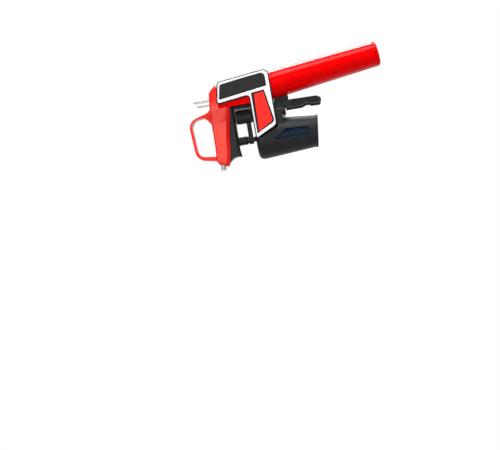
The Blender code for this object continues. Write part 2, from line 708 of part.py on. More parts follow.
def build_base_fittings():
    """Rails, hinge pins, bumper, needle guide and clamp spring."""
    tab_left = RAIL_X + (RAIL_WIDTH - RAIL_TAB_WIDTH) / 2
    rail = (
        (tab_left, SADDLE_TOP_Z - RAIL_TAB_LENGTH),
        (tab_left + RAIL_TAB_WIDTH, SADDLE_TOP_Z - RAIL_TAB_LENGTH),
        (tab_left + RAIL_TAB_WIDTH, SADDLE_TOP_Z),
        (RAIL_RIGHT_X, SADDLE_TOP_Z),
        (RAIL_RIGHT_X, RAIL_TOP_Z),
        (RAIL_X, RAIL_TOP_Z - RAIL_TIP_DROP),
        (RAIL_X, SADDLE_TOP_Z),
        (tab_left, SADDLE_TOP_Z),
    )
    for side, word in ((1, "left"), (-1, "right")):
        node(f"slide_rail_{word}", prism(rail, side * RAIL_INNER_Y, side * RAIL_OUTER_Y), STEEL)
        spot = upright(HINGE_X, side * HINGE_Y)
        pin = (
            (0, LUG_BOTTOM_Z - GAP - PIN_HEAD_HEIGHT),
            (PIN_HEAD_RADIUS, LUG_BOTTOM_Z - GAP - PIN_HEAD_HEIGHT),
            (PIN_HEAD_RADIUS, LUG_BOTTOM_Z - GAP),
            (PIN_RADIUS, LUG_BOTTOM_Z - GAP),
            (PIN_RADIUS, SADDLE_BOTTOM_Z + PIN_DEPTH),
            (0, SADDLE_BOTTOM_Z + PIN_DEPTH),
        )
        node(f"hinge_pin_{word}", turned(pin, spot, FINE_STEPS), BLACK, (HINGE_X, side * HINGE_Y, 0))
    bumper_bottom = BOSS_TOP_Z + GAP
    bumper = (
        (BOSS_BORE_RADIUS, bumper_bottom),
        (BOSS_RADIUS - GAP, bumper_bottom),
        (BOSS_RADIUS - GAP, bumper_bottom + BUMPER_HEIGHT * 0.7),
        (BOSS_RADIUS - 2 * GAP, bumper_bottom + BUMPER_HEIGHT),
        (BOSS_BORE_RADIUS, bumper_bottom + BUMPER_HEIGHT),
    )
    node("bumper_ring", turned(bumper, upright(BOSS_X, 0), TURN_STEPS, True), RUBBER)
    foot_bottom = SLEEVE_TOP_Z - SLEEVE_CAP
    guide = (
        (GUIDE_BORE_RADIUS, foot_bottom),
        (GUIDE_FOOT_RADIUS, foot_bottom),
        (GUIDE_FOOT_RADIUS, foot_bottom + GUIDE_FOOT_HEIGHT),
        (GUIDE_STEM_RADIUS, foot_bottom + 2 * GUIDE_FOOT_HEIGHT),
        (GUIDE_STEM_RADIUS, ARM_TOP_Z + GAP),
        (GUIDE_FLANGE_RADIUS, ARM_TOP_Z + GAP),
        (GUIDE_FLANGE_RADIUS, ARM_TOP_Z + GAP + GUIDE_FLANGE_HEIGHT / 2),
        (GUIDE_BORE_RADIUS, ARM_TOP_Z + GAP + GUIDE_FLANGE_HEIGHT / 2),
    )
    node("needle_guide", turned(guide, upright(0, 0), FINE_STEPS, True), BLACK)
    length = 2 * (LEVER_INNER_Y - 5 * GAP)
    turn = Matrix.Rotation(-math.pi / 2, 4, "X")
    frame = Matrix.Translation((SPRING_BOSS_X, -length / 2, SPRING_BOSS_Z)) @ turn
    coil(
        "clamp_spring", STEEL, CLAMP_SPRING_RADIUS, CLAMP_SPRING_WIRE, length, CLAMP_SPRING_TURNS, frame
    )


def sleeve_rings():
    """Rings of the sleeve's outer surface, from the mouth up over the shoulder."""
    levels = [(SLEEVE_MOUTH_Z, SLEEVE_MOUTH_RADIUS + SLEEVE_RIM, SLEEVE_MOUTH_X)]
    rim_top = SLEEVE_MOUTH_Z + SLEEVE_RIM_HEIGHT
    levels.append((rim_top, SLEEVE_MOUTH_RADIUS + SLEEVE_RIM, SLEEVE_MOUTH_X))
    levels.append((rim_top + SLEEVE_RIM, SLEEVE_MOUTH_RADIUS, SLEEVE_MOUTH_X))
    shoulder_z = SLEEVE_TOP_Z - SLEEVE_SHOULDER_DROP
    for height_share, radius_share in SHOULDER_SHARES:
        radius = SLEEVE_SHOULDER_RADIUS - SLEEVE_SHOULDER_DROP * (1 - radius_share)
        levels.append((shoulder_z + SLEEVE_SHOULDER_DROP * height_share, radius, SLEEVE_SHOULDER_X))
    rings = []
    for height, radius, shift in levels:
        ring = []
        for step in range(TURN_STEPS):
            angle = 2 * math.pi * step / TURN_STEPS
            x = shift + radius * math.cos(angle)
            slant = SLEEVE_MOUTH_SLOPE * x if height < PAD_BOTTOM_Z else 0
            ring.append((x, radius * math.sin(angle), height + slant))
        rings.append(ring)
    return rings


def side_keep_out(margin):
    """The room that the T-shaped side takes as it slides up, past its slanted edge."""
    corners = grown(side_corners(TRIM_SHARES), PLATE_BORDER + margin)
    tip, foot = corners[5], corners[4]
    high = SLEEVE_TOP_Z + OVERRUN
    slope = (tip[0] - foot[0]) / (tip[1] - foot[1])
    top_x = tip[0] + (high - tip[1]) * slope
    far = PLATE_LEFT_X + PLATE_LENGTH
    return (
        (top_x, high, 0), (foot[0], foot[1], foot[2]), (far, foot[1], 0), (far, high, 0),
    )


def build_jaw(side, word):
    """One half sleeve with its knuckle, arm and pinch lever."""
    origin = (HINGE_X, side * HINGE_Y, 0)
    jaw = node(f"jaw_{word}", loft(sleeve_rings()), CHARCOAL, origin)
    reach = SLEEVE_SHOULDER_RADIUS - SLEEVE_SHOULDER_X + OVERRUN
    split = SLEEVE_SPLIT / 2
    low = SLEEVE_MOUTH_Z + SLEEVE_MOUTH_SLOPE * reach - OVERRUN
    high = SLEEVE_TOP_Z + OVERRUN
    cut(jaw, block(-reach, reach, -side * reach, side * split, low, high))
    keep_out = rounded(side_keep_out(5 * GAP))
    cut(jaw, prism(keep_out, -reach, reach))
    knuckle_low = (HINGE_X, side * HINGE_Y, KNUCKLE_BOTTOM_Z)
    knuckle_high = (HINGE_X, side * HINGE_Y, KNUCKLE_TOP_Z)
    lever = placed(LEVER_SHARES, LEVER_LEFT_X, KNUCKLE_TOP_Z, LEVER_WIDTH, -LEVER_LENGTH)
    lever_outer = LEVER_INNER_Y + LEVER_THICKNESS
    add(
        jaw,
        block(
            ARM_REACH_X, HINGE_X, side * ARM_INNER_Y, side * ARM_OUTER_Y, KNUCKLE_BOTTOM_Z, KNUCKLE_TOP_Z
        ),
        rod(KNUCKLE_RADIUS, knuckle_low, knuckle_high),
    )
    return jaw, lever, lever_outer, origin


def build_jaws():
    for side, word in ((1, "left"), (-1, "right")):
        jaw, lever, lever_outer, origin = build_jaw(side, word)
        add(jaw, prism(rounded(lever, 3), side * LEVER_INNER_Y, side * lever_outer))
        add(jaw, rod(
            SPRING_BOSS_RADIUS, (SPRING_BOSS_X, side * (lever_outer - OVERRUN), SPRING_BOSS_Z),
            (SPRING_BOSS_X, side * (lever_outer + SPRING_BOSS_PROUD), SPRING_BOSS_Z),
        ))
        for number in range(RIB_COUNT):
            x = LEVER_LEFT_X + LEVER_WIDTH * (number + 2.1) / (RIB_COUNT + 1.9)
            add(jaw, block(
                x - RIB_WIDTH / 2, x + RIB_WIDTH / 2, side * (lever_outer - RIB_WIDTH),
                side * (lever_outer + RIB_PROUD), KNUCKLE_TOP_Z - LEVER_LENGTH * RIB_END_SHARE,
                KNUCKLE_BOTTOM_Z - 2 * KNUCKLE_RADIUS,
            ))
        bore_top = SLEEVE_TOP_Z - SLEEVE_CAP
        window = placed(WINDOW_SHARES, WINDOW_CENTRE_X, WINDOW_TOP_Z, WINDOW_HEIGHT, -WINDOW_LENGTH)
        cut(
            jaw,
            rod(
                SLEEVE_BORE_RADIUS, (SLEEVE_BORE_X, 0, 2 * SLEEVE_MOUTH_Z - PAD_BOTTOM_Z),
                (SLEEVE_BORE_X, 0, bore_top), TURN_STEPS + 8,
            ),
            rod(NEEDLE_PASSAGE_RADIUS, (0, 0, bore_top - OVERRUN), (0, 0, SLEEVE_TOP_Z + OVERRUN), TURN_STEPS),
            prism(rounded(window, 4), side * SLEEVE_SPLIT, side * (SLEEVE_SHOULDER_RADIUS + OVERRUN)),
            rod(
                PIN_RADIUS + GAP, (HINGE_X, side * HINGE_Y, KNUCKLE_BOTTOM_Z - OVERRUN),
                (HINGE_X, side * HINGE_Y, KNUCKLE_TOP_Z + OVERRUN),
            ),
        )
        outer = SLEEVE_BORE_RADIUS - GAP
        liner = (
            (PAD_BORE_RADIUS, PAD_BOTTOM_Z), (outer, PAD_BOTTOM_Z), (outer, PAD_TOP_Z),
            (PAD_BORE_RADIUS, PAD_TOP_Z),
        )
        pad = node(
            f"jaw_pad_{word}", turned(liner, upright(SLEEVE_BORE_X, 0), TURN_STEPS + 8, True), NAVY, origin
        )
        low = PAD_BOTTOM_Z - OVERRUN
        high = PAD_TOP_Z + OVERRUN
        edge = SLEEVE_SPLIT / 2
        cut(
            pad,
            block(-SLEEVE_SHOULDER_RADIUS, SLEEVE_SHOULDER_RADIUS, -side * (outer + OVERRUN), side * edge, low, high),
            prism(rounded(side_keep_out(8 * GAP)), -SLEEVE_SHOULDER_RADIUS, SLEEVE_SHOULDER_RADIUS),
        )


def build_housing():
    """The red housing: core, cheeks beside the rails, collar and spigot."""
    collar_x = handle_x(HANDLE_Z, COLLAR_RADIUS)
    core = rounded((
        (HOUSING_LEFT_X, HOUSING_TOP_Z, 0),
        (CORE_TOP_X, HOUSING_TOP_Z, FOOT_CORNER),
        (CORE_SIDE_X, VALVE_Z, 0),
        (CORE_SIDE_X, CORE_TURN_Z, FOOT_CORNER),
        (HOUSING_END_X, CORE_TURN_Z, FOOT_CORNER),
        (min(collar_x, HOUSING_END_X), HANDLE_Z, 0),
        (HOUSING_LEFT_X + FOOT_CORNER, HANDLE_Z, 0),
        (HOUSING_LEFT_X, HANDLE_Z + FOOT_CORNER, 0),
    ))
    housing = node("body_housing", prism(core, -CORE_HALF_WIDTH, CORE_HALF_WIDTH), RED)
    collar = (
        (0, COLLAR_TOP), (COLLAR_RADIUS, COLLAR_TOP), (COLLAR_RADIUS, -COLLAR_LENGTH),
        (SPIGOT_RADIUS, -COLLAR_LENGTH), (SPIGOT_RADIUS, -COLLAR_LENGTH - SPIGOT_LENGTH),
        (0, -COLLAR_LENGTH - SPIGOT_LENGTH),
    )
    pad_outer = PLATE_INNER_Y - GAP
    pad_right_from = YOKE_END_X + GAP
    pad_left_to = RAIL_X - RAIL_SIDE_GAP
    add(
        housing,
        block(HOUSING_LEFT_X, CHEEK_RIGHT_X, -CHEEK_HALF_WIDTH, CHEEK_HALF_WIDTH, HANDLE_Z, HOUSING_TOP_Z),
        block(HOUSING_LEFT_X, pad_left_to, -pad_outer, pad_outer, PAD_LEFT_BOTTOM_Z, HOUSING_TOP_Z),
        block(pad_right_from, CHEEK_RIGHT_X, -pad_outer, pad_outer, HANDLE_Z, HOUSING_TOP_Z),
        turned(collar, HANDLE_FRAME),
        rod(
            TRIGGER_LUG_RADIUS, (TRIGGER_PIN_X, -CORE_HALF_WIDTH, TRIGGER_PIN_Z),
            (TRIGGER_PIN_X, CORE_HALF_WIDTH, TRIGGER_PIN_Z),
        ),
    )
    bottom = -COLLAR_LENGTH - SPIGOT_LENGTH - OVERRUN
    bore = (
        (0, bottom), (REGULATOR_RADIUS + GAP, bottom), (REGULATOR_RADIUS + GAP, -REGULATOR_WAIST + GAP),
        (REGULATOR_CAP_RADIUS + GAP, -REGULATOR_WAIST + GAP),
        (REGULATOR_CAP_RADIUS + GAP, REGULATOR_TOP + GAP), (0, REGULATOR_TOP + GAP),
    )
    regulator_end = HANDLE_FRAME @ Vector((0, 0, REGULATOR_TOP))
    cut(
        housing,
        turned(bore, HANDLE_FRAME),
        rod(VALVE_RADIUS + GAP, (VALVE_LEFT_X - GAP, 0, VALVE_Z), (CORE_SIDE_X + OVERRUN, 0, VALVE_Z)),
        rod(PASSAGE_RADIUS, (GAS_TUBE_X, 0, VALVE_Z), (VALVE_LEFT_X, 0, VALVE_Z)),
        rod(PASSAGE_RADIUS, regulator_end, (regulator_end.x, 0, VALVE_Z)),
        rod(
            GAS_TUBE_RADIUS + GAP, (GAS_TUBE_X, 0, VALVE_Z - GAS_TUBE_RADIUS),
            (GAS_TUBE_X, 0, HOUSING_TOP_Z + OVERRUN),
        ),
        rod(
            TRIGGER_PIN_RADIUS + GAP, (TRIGGER_PIN_X, -CORE_HALF_WIDTH - OVERRUN, TRIGGER_PIN_Z),
            (TRIGGER_PIN_X, CORE_HALF_WIDTH + OVERRUN, TRIGGER_PIN_Z),
        ),
        block(
            HOUSING_LEFT_X - OVERRUN, GAS_TUBE_X + GAS_TUBE_RADIUS + GAP, -GAS_TUBE_RADIUS - GAP,
            GAS_TUBE_RADIUS + GAP, GAS_TUBE_Z - GAS_TUBE_BEND - GAS_TUBE_RADIUS, HOUSING_TOP_Z + OVERRUN,
        ),
    )
    for side in (1, -1):
        for z in SCREW_SPOTS_Z.values():
            cut(housing, rod(
                SCREW_RADIUS + GAP, (SCREW_X, side * (PLATE_INNER_Y + OVERRUN), z),
                (SCREW_X, side * (PLATE_INNER_Y - SCREW_DEPTH - GAP), z),
            ))


def build_liner():
    """The dark sheet on the housing's face beside the clamp, notched for the gas tube."""
    left = HOUSING_LEFT_X - GAP - LINER_THICKNESS
    right = HOUSING_LEFT_X - GAP
    top = HEAD_BOTTOM_Z - GAP
    liner = node(
        "channel_liner", block(left, right, -LINER_HALF_WIDTH, LINER_HALF_WIDTH, LINER_BOTTOM_Z, top), BLACK
    )
    round_edges(liner, EDGE_ROUND)


def head_point(share_x, share_z):
    return HEAD_LEFT_X + share_x * HEAD_LENGTH, HEAD_BOTTOM_Z + share_z * HEAD_HEIGHT


def section_ring(top, bottom, half_width, bevel_height, bevel_inset, top_round):
    """One ring of a head section, drawn on the plane through its top and bottom."""
    top = Vector(top)
    bottom = Vector(bottom)
    height = (top - bottom).length
    low = min(bevel_height, height * 0.45) / height
    high = 1 - min(top_round, height * 0.3) / height
    half = (
        (half_width - bevel_inset, 0.0), (half_width, low), (half_width, high),
        (half_width - top_round * 0.3, high + (1 - high) * 0.7), (half_width - top_round, 1.0),
    )
    ring = []
    for side, points in ((-1, half), (1, reversed(half))):
        for y, share in points:
            place = bottom + (top - bottom) * share
            ring.append((place.x, side * y, place.y))
    return ring


def build_head():
    """The red head, lofted along X, with the finger loop and the plates' seat."""
    rings = []
    for top_x, top_z, low_x, low_z, width in HEAD_SECTION_SHARES:
        rings.append(section_ring(
            head_point(top_x, top_z), head_point(low_x, low_z), width * HEAD_HALF_WIDTH,
            HEAD_BEVEL_HEIGHT, HEAD_BEVEL_INSET, HEAD_TOP_ROUND,
        ))
    head = node("head_shell", loft(rings), RED)
    loop = rounded(placed(LOOP_SHARES, LOOP_LEFT_X, LOOP_BOTTOM_Z, LOOP_LENGTH, LOOP_HEIGHT))
    hole = rounded(placed(LOOP_HOLE_SHARES, LOOP_LEFT_X, LOOP_BOTTOM_Z, LOOP_LENGTH, LOOP_HEIGHT))
    add(head, prism(loop, -LOOP_HALF_WIDTH, LOOP_HALF_WIDTH))
    far = HEAD_LEFT_X + HEAD_LENGTH + OVERRUN
    wide = HEAD_HALF_WIDTH + OVERRUN
    cut(
        head,
        prism(hole, -LOOP_HALF_WIDTH - OVERRUN, LOOP_HALF_WIDTH + OVERRUN),
        block(HOUSING_LEFT_X - GAP, far, -wide, wide, HEAD_BOTTOM_Z - OVERRUN, HOUSING_TOP_Z + GAP),
    )
    seat = rounded(grown(side_corners(TRIM_SHARES), PLATE_BORDER + GAP))
    for side in (1, -1):
        cut(
            head,
            prism(seat, side * (PLATE_INNER_Y - GAP), side * wide),
            block(
                RAIL_X - RAIL_SIDE_GAP, RAIL_RIGHT_X + RAIL_SIDE_GAP, side * (RAIL_INNER_Y - GAP),
                side * (RAIL_OUTER_Y + GAP), HEAD_BOTTOM_Z, HEAD_BOTTOM_Z + HEAD_HEIGHT + OVERRUN,
            ),
        )
    spout = Matrix.Translation((SPOUT_X, 0, SPOUT_Z)) @ Matrix.Rotation(
        SPOUT_TILT - math.pi / 2, 4, "Y"
    )
    seat_end = spout @ Vector((0, 0, -SPOUT_SEAT - SPOUT_SEAL - 2 * GAP))
    channel = GAS_TUBE_RADIUS + GAP
    cut(
        head,
        rod(SPOUT_RADIUS + GAP, seat_end, spout @ Vector((0, 0, SPOUT_PROUD))),
        rod(PASSAGE_RADIUS, seat_end, (0, 0, GAS_TUBE_Z)),
        rod(channel, (0, 0, GAS_TUBE_Z), (HOUSING_LEFT_X + OVERRUN, 0, GAS_TUBE_Z)),
        block(
            -channel, GAS_TUBE_BEND + GAP, -channel, channel, HEAD_BOTTOM_Z, GAS_TUBE_Z + channel * 0.7
        ),
    )
    tube = (
        (SPOUT_BORE_RADIUS, -SPOUT_SEAT), (SPOUT_RADIUS, -SPOUT_SEAT), (SPOUT_RADIUS, SPOUT_PROUD),
        (SPOUT_BORE_RADIUS, SPOUT_PROUD),
    )
    node("spout_tube", turned(tube, spout, FINE_STEPS, True), STEEL)
    seal_from = -SPOUT_SEAT - SPOUT_SEAL - GAP
    seal = (
        (SPOUT_BORE_RADIUS, seal_from), (SPOUT_RADIUS, seal_from), (SPOUT_RADIUS, seal_from + SPOUT_SEAL),
        (SPOUT_BORE_RADIUS, seal_from + SPOUT_SEAL),
    )
    node("spout_seal", turned(seal, spout, FINE_STEPS, True), RUBBER)


def wedge_sections():
    """Sections of the dark wedge, hung under the head's own bottom points."""
    sections = []
    for _top_x, _top_z, low_x, low_z, width in HEAD_SECTION_SHARES[5:11]:
        x, z = head_point(low_x, low_z)
        x = min(x, HOUSING_LEFT_X - GAP)
        half = width * HEAD_HALF_WIDTH - WEDGE_INSET
        sections.append(((x, z - GAP), (x, HEAD_BOTTOM_Z), half))
    _top_x, _top_z, low_x, low_z, width = HEAD_SECTION_SHARES[11]
    x, z = head_point(low_x, low_z)
    half = width * HEAD_HALF_WIDTH - WEDGE_INSET
    sections.append(((x, z - GAP), (WEDGE_TIP_X, WEDGE_TIP_Z), half))
    return sections


def build_wedge():
    rings = [
        section_ring(top, bottom, half, WEDGE_BEVEL_HEIGHT, WEDGE_BEVEL_INSET, GAP)
        for top, bottom, half in wedge_sections()
    ]
    wedge = node("head_underside", loft(rings), CHARCOAL)
    top, bottom, half = wedge_sections()[-1]
    middle = (Vector(top) + Vector(bottom)) / 2
    along = (Vector(top) - Vector(bottom)).normalized()
    outward = Vector((-along.y, along.x))
    chord = (Vector(top) - Vector(bottom)).length / 2
    radius = (chord * chord + WEDGE_ARC_SAG * WEDGE_ARC_SAG) / (2 * WEDGE_ARC_SAG)
    centre = middle + outward * (radius - WEDGE_ARC_SAG)
    wide = HEAD_HALF_WIDTH
    cut(
        wedge,
        rod(radius, (centre.x, -wide, centre.y), (centre.x, wide, centre.y), TURN_STEPS),
        rod(HUB_STUD_RADIUS + GAP, (0, 0, HEAD_BOTTOM_Z - OVERRUN), (0, 0, TUBE_END_Z)),
        rod(GAS_TUBE_RADIUS + GAP, (0, 0, STUD_TOP_Z), (0, 0, GAS_TUBE_Z)),
    )


def build_needle():
    """The hollow needle's hub, the needle and the seal over it."""
    bore = NEEDLE_RADIUS + GAP
    hub = [(bore, HUB_BOTTOM_Z), (HUB_RADIUS - HUB_NOSE, HUB_BOTTOM_Z), (HUB_RADIUS, HUB_BOTTOM_Z + HUB_NOSE)]
    spacing = (HUB_TOP_Z - HUB_BOTTOM_Z - HUB_NOSE) / (HUB_GROOVES + 1)
    for number in range(HUB_GROOVES):
        z = HUB_BOTTOM_Z + HUB_NOSE + spacing * (number + 1)
        groove = HUB_RADIUS - HUB_GROOVE_DEPTH
        half = HUB_GROOVE_WIDTH / 2
        hub += [(HUB_RADIUS, z - half), (groove, z - half), (groove, z + half), (HUB_RADIUS, z + half)]
    hub += [
        (HUB_RADIUS, HUB_TOP_Z), (HUB_STUD_RADIUS, HUB_TOP_Z), (HUB_STUD_RADIUS, STUD_TOP_Z),
        (bore, STUD_TOP_Z),
    ]
    node("needle_hub", turned(hub, upright(0, 0), FINE_STEPS, True), BLACK)
    seal = (
        (bore, STUD_TOP_Z + GAP), (HUB_STUD_RADIUS, STUD_TOP_Z + GAP), (HUB_STUD_RADIUS, TUBE_END_Z - GAP),
        (bore, TUBE_END_Z - GAP),
    )
    node("hub_seal", turned(seal, upright(0, 0), FINE_STEPS, True), RUBBER)
    needle = (
        (0, NEEDLE_TIP_Z), (NEEDLE_RADIUS, NEEDLE_TIP_Z + NEEDLE_POINT),
        (NEEDLE_RADIUS, STUD_TOP_Z - GAP), (0, STUD_TOP_Z - GAP),
    )
    shaft = node("needle", turned(needle, upright(0, 0), FINE_STEPS - 4), STEEL)
    port = NEEDLE_TIP_Z + NEEDLE_POINT + NEEDLE_PORT_LENGTH
    cut(shaft, block(
        -NEEDLE_RADIUS * 0.4, NEEDLE_RADIUS * 0.4, -NEEDLE_RADIUS - OVERRUN, -NEEDLE_RADIUS * 0.3,
        port, port + NEEDLE_PORT_LENGTH,
    ))


def build_sides():
    """Side plates with their trim, grip panel, inset panel and screws."""
    outline = side_corners(TRIM_SHARES)
    grip = side_corners(GRIP_WINDOW_SHARES)
    window = side_corners(STEM_WINDOW_SHARES)
    inset = side_corners(INSET_SHARES)
    face = PLATE_OUTER_Y + GAP
    for side, word in ((1, "left"), (-1, "right")):
        plate = node(
            f"side_plate_{word}",
            prism(rounded(grown(outline, PLATE_BORDER)), side * PLATE_INNER_Y, side * PLATE_OUTER_Y),
            BLACK,
        )
        trim = node(
            f"side_trim_{word}", prism(rounded(outline), side * face, side * (face + TRIM_THICKNESS)), SILVER
        )
        cut(
            trim,
            prism(rounded(grip), side * PLATE_INNER_Y, side * (face + TRIM_THICKNESS + OVERRUN)),
            prism(rounded(window), side * PLATE_INNER_Y, side * (face + TRIM_THICKNESS + OVERRUN)),
        )
        round_edges(trim, EDGE_ROUND)
        panel = node(
            f"grip_panel_{word}",
            prism(rounded(grown(grip, -PANEL_GAP)), side * face, side * (face + GRIP_THICKNESS)),
            RUBBER,
        )
        round_edges(panel, EDGE_ROUND)
        badge = node(
            f"inset_panel_{word}", prism(rounded(inset), side * face, side * (face + INSET_THICKNESS)), RED
        )
        round_edges(badge, EDGE_ROUND / 2)
        for level, z in SCREW_SPOTS_Z.items():
            head_top = PLATE_THICKNESS - GAP
            profile = (
                (0, -SCREW_DEPTH), (SCREW_RADIUS, -SCREW_DEPTH), (SCREW_RADIUS, head_top - SCREW_HEAD_HEIGHT),
                (SCREW_HEAD_RADIUS, head_top - SCREW_HEAD_HEIGHT), (SCREW_HEAD_RADIUS, head_top), (0, head_top),
            )
            frame = Matrix.Translation((SCREW_X, side * PLATE_INNER_Y, z)) @ Matrix.Rotation(
                -side * math.pi / 2, 4, "X"
            )
            node(f"plate_screw_{word}_{level}", turned(profile, frame, FINE_STEPS - 4), STEEL)
            inner = (SCREW_X, side * (PLATE_INNER_Y - OVERRUN), z)
            shoulder = (SCREW_X, side * (PLATE_OUTER_Y - 2 * GAP - SCREW_HEAD_HEIGHT), z)
            outer = (SCREW_X, side * (PLATE_OUTER_Y + OVERRUN), z)
            cut(plate, rod(SCREW_RADIUS + GAP, inner, outer), rod(SCREW_HEAD_RADIUS + GAP, shoulder, outer))


def build_regulator():
    """Regulator body, piston, spring, pierce pin and capsule seal."""
    body = (
        (0, REGULATOR_TOP), (REGULATOR_CAP_RADIUS, REGULATOR_TOP), (REGULATOR_CAP_RADIUS, -REGULATOR_WAIST),
        (REGULATOR_RADIUS, -REGULATOR_WAIST), (REGULATOR_RADIUS, -REGULATOR_BOTTOM),
        (SOCKET_RADIUS, -REGULATOR_BOTTOM), (SOCKET_RADIUS, SOCKET_TOP),
        (PIERCE_PIN_RADIUS + GAP, SOCKET_TOP), (PIERCE_PIN_RADIUS + GAP, CHAMBER_BOTTOM),
        (CHAMBER_RADIUS, CHAMBER_BOTTOM), (CHAMBER_RADIUS, REGULATOR_TOP - REGULATOR_WALL),
        (0, REGULATOR_TOP - REGULATOR_WALL),
    )
    node("regulator_body", turned(body, HANDLE_FRAME, TURN_STEPS - 8), BRASS)
    head_low = CHAMBER_BOTTOM + GAP
    pin = (
        (0, SOCKET_TOP - PIERCE_PIN_REACH), (PIERCE_PIN_RADIUS, SOCKET_TOP - PIERCE_PIN_REACH / 2),
        (PIERCE_PIN_RADIUS, head_low), (PIERCE_HEAD_RADIUS, head_low),
        (PIERCE_HEAD_RADIUS, head_low + PIERCE_HEAD_HEIGHT), (0, head_low + PIERCE_HEAD_HEIGHT),
    )
    node("pierce_pin", turned(pin, HANDLE_FRAME, FINE_STEPS - 4), STEEL)
    seal = (
        (SEAL_BORE_RADIUS, SOCKET_TOP - GAP - SEAL_HEIGHT), (SOCKET_RADIUS - GAP, SOCKET_TOP - GAP - SEAL_HEIGHT),
        (SOCKET_RADIUS - GAP, SOCKET_TOP - GAP), (SEAL_BORE_RADIUS, SOCKET_TOP - GAP),
    )
    node("capsule_seal", turned(seal, HANDLE_FRAME, FINE_STEPS + 4, True), RUBBER)
    piston_low = head_low + PIERCE_HEAD_HEIGHT + GAP
    piston = (
        (0, piston_low), (CHAMBER_RADIUS - GAP, piston_low), (CHAMBER_RADIUS - GAP, piston_low + PISTON_HEIGHT),
        (0, piston_low + PISTON_HEIGHT),
    )
    node("regulator_piston", turned(piston, HANDLE_FRAME, FINE_STEPS + 4), BRASS)
    spring_low = piston_low + PISTON_HEIGHT + GAP
    spring_high = REGULATOR_TOP - REGULATOR_WALL - GAP
    coil(
        "regulator_spring", STEEL, REGULATOR_SPRING_RADIUS, REGULATOR_SPRING_WIRE,
        spring_high - spring_low, REGULATOR_SPRING_TURNS, HANDLE_FRAME @ upright(0, 0, spring_low),
    )


def build_valve():
    """Gas valve, its stem and spring, and the gas tube to the needle hub."""
    frame = lying(VALVE_LEFT_X, VALVE_Z)
    bore = STEM_RADIUS + GAP
    body = (
        (bore, 0), (VALVE_RADIUS, 0), (VALVE_RADIUS, VALVE_LENGTH), (bore, VALVE_LENGTH),
        (bore, VALVE_LENGTH - VALVE_WALL), (VALVE_CHAMBER_RADIUS, VALVE_LENGTH - VALVE_WALL),
        (VALVE_CHAMBER_RADIUS, VALVE_WALL), (bore, VALVE_WALL),
    )
    node("valve_body", turned(body, frame, FINE_STEPS + 4, True), BRASS)
    flange_top = VALVE_LENGTH - VALVE_WALL - GAP
    end = STEM_END_X - VALVE_LEFT_X
    stem = (
        (0, flange_top - STEM_TAIL), (STEM_RADIUS, flange_top - STEM_TAIL),
        (STEM_RADIUS, flange_top - STEM_FLANGE), (STEM_FLANGE_RADIUS, flange_top - STEM_FLANGE),
        (STEM_FLANGE_RADIUS, flange_top), (STEM_RADIUS, flange_top), (STEM_RADIUS, end - STEM_BUTTON),
        (STEM_BUTTON_RADIUS, end - STEM_BUTTON), (STEM_BUTTON_RADIUS, end), (0, end),
    )
    node("valve_stem", turned(stem, frame, FINE_STEPS), STEEL, (VALVE_RIGHT_X, 0, VALVE_Z))
    coil(
        "valve_spring", STEEL, VALVE_SPRING_RADIUS, VALVE_SPRING_WIRE, VALVE_SPRING_LENGTH,
        VALVE_SPRING_TURNS, frame @ upright(0, 0, VALVE_WALL + GAP),
    )
    path = [(GAS_TUBE_X, VALVE_Z)]
    for corner_x, corner_z, first in (
        (GAS_TUBE_X - GAS_TUBE_BEND, GAS_TUBE_Z - GAS_TUBE_BEND, 0.0),
        (GAS_TUBE_BEND, GAS_TUBE_Z - GAS_TUBE_BEND, math.pi / 2),
    ):
        for step in range(ARC_STEPS + 1):
            angle = first + math.pi / 2 * step / ARC_STEPS
            path.append((corner_x + GAS_TUBE_BEND * math.cos(angle), corner_z + GAS_TUBE_BEND * math.sin(angle)))
    path.append((0, TUBE_END_Z))
    curve = bpy.data.curves.new("gas_tube", "CURVE")
    curve.dimensions = "3D"
    curve.bevel_depth = GAS_TUBE_RADIUS
    curve.bevel_resolution = 2
    curve.use_fill_caps = True
    spline = curve.splines.new("POLY")
    spline.points.add(len(path) - 1)
    for point, (x, z) in zip(spline.points, path):
        point.co = (x, 0, z, 1)
    curve.materials.append(finish_material(STEEL))
    bpy.context.collection.objects.link(bpy.data.objects.new("gas_tube", curve))


def build_trigger():
    """The bright lever: a channel that straddles the housing, and its pin."""
    corners = placed(TRIGGER_SHARES, TRIGGER_LEFT_X, TRIGGER_BOTTOM_Z, TRIGGER_WIDTH, TRIGGER_HEIGHT)
    origin = (TRIGGER_PIN_X, 0, TRIGGER_PIN_Z)
    lever = node(
        "trigger", prism(rounded(corners), -TRIGGER_HALF_WIDTH, TRIGGER_HALF_WIDTH), SILVER, origin
    )
    outer = [corners[index] for index in (1, 2, 3)]
    inner = [(x - TRIGGER_WEB, z) for x, z, _radius in outer]
    reach = TRIGGER_WIDTH
    room = (
        (inner[0][0], inner[0][1] + OVERRUN * 2), inner[1], (inner[2][0], inner[2][1] - OVERRUN * 2),
        (inner[2][0] - reach * 2, inner[2][1] - OVERRUN * 2), (inner[0][0] - reach * 2, inner[0][1] + OVERRUN * 2),
    )
    half = TRIGGER_HALF_WIDTH - TRIGGER_WALL
    pin_reach = TRIGGER_HALF_WIDTH + GAP
    cut(
        lever,
        prism(room, -half, half),
        rod(
            TRIGGER_PIN_RADIUS + GAP, (TRIGGER_PIN_X, -TRIGGER_HALF_WIDTH - OVERRUN, TRIGGER_PIN_Z),
            (TRIGGER_PIN_X, TRIGGER_HALF_WIDTH + OVERRUN, TRIGGER_PIN_Z),
        ),
    )
    node("trigger_pin", rod(
        TRIGGER_PIN_RADIUS, (TRIGGER_PIN_X, -pin_reach, TRIGGER_PIN_Z), (TRIGGER_PIN_X, pin_reach, TRIGGER_PIN_Z)
    ), STEEL)


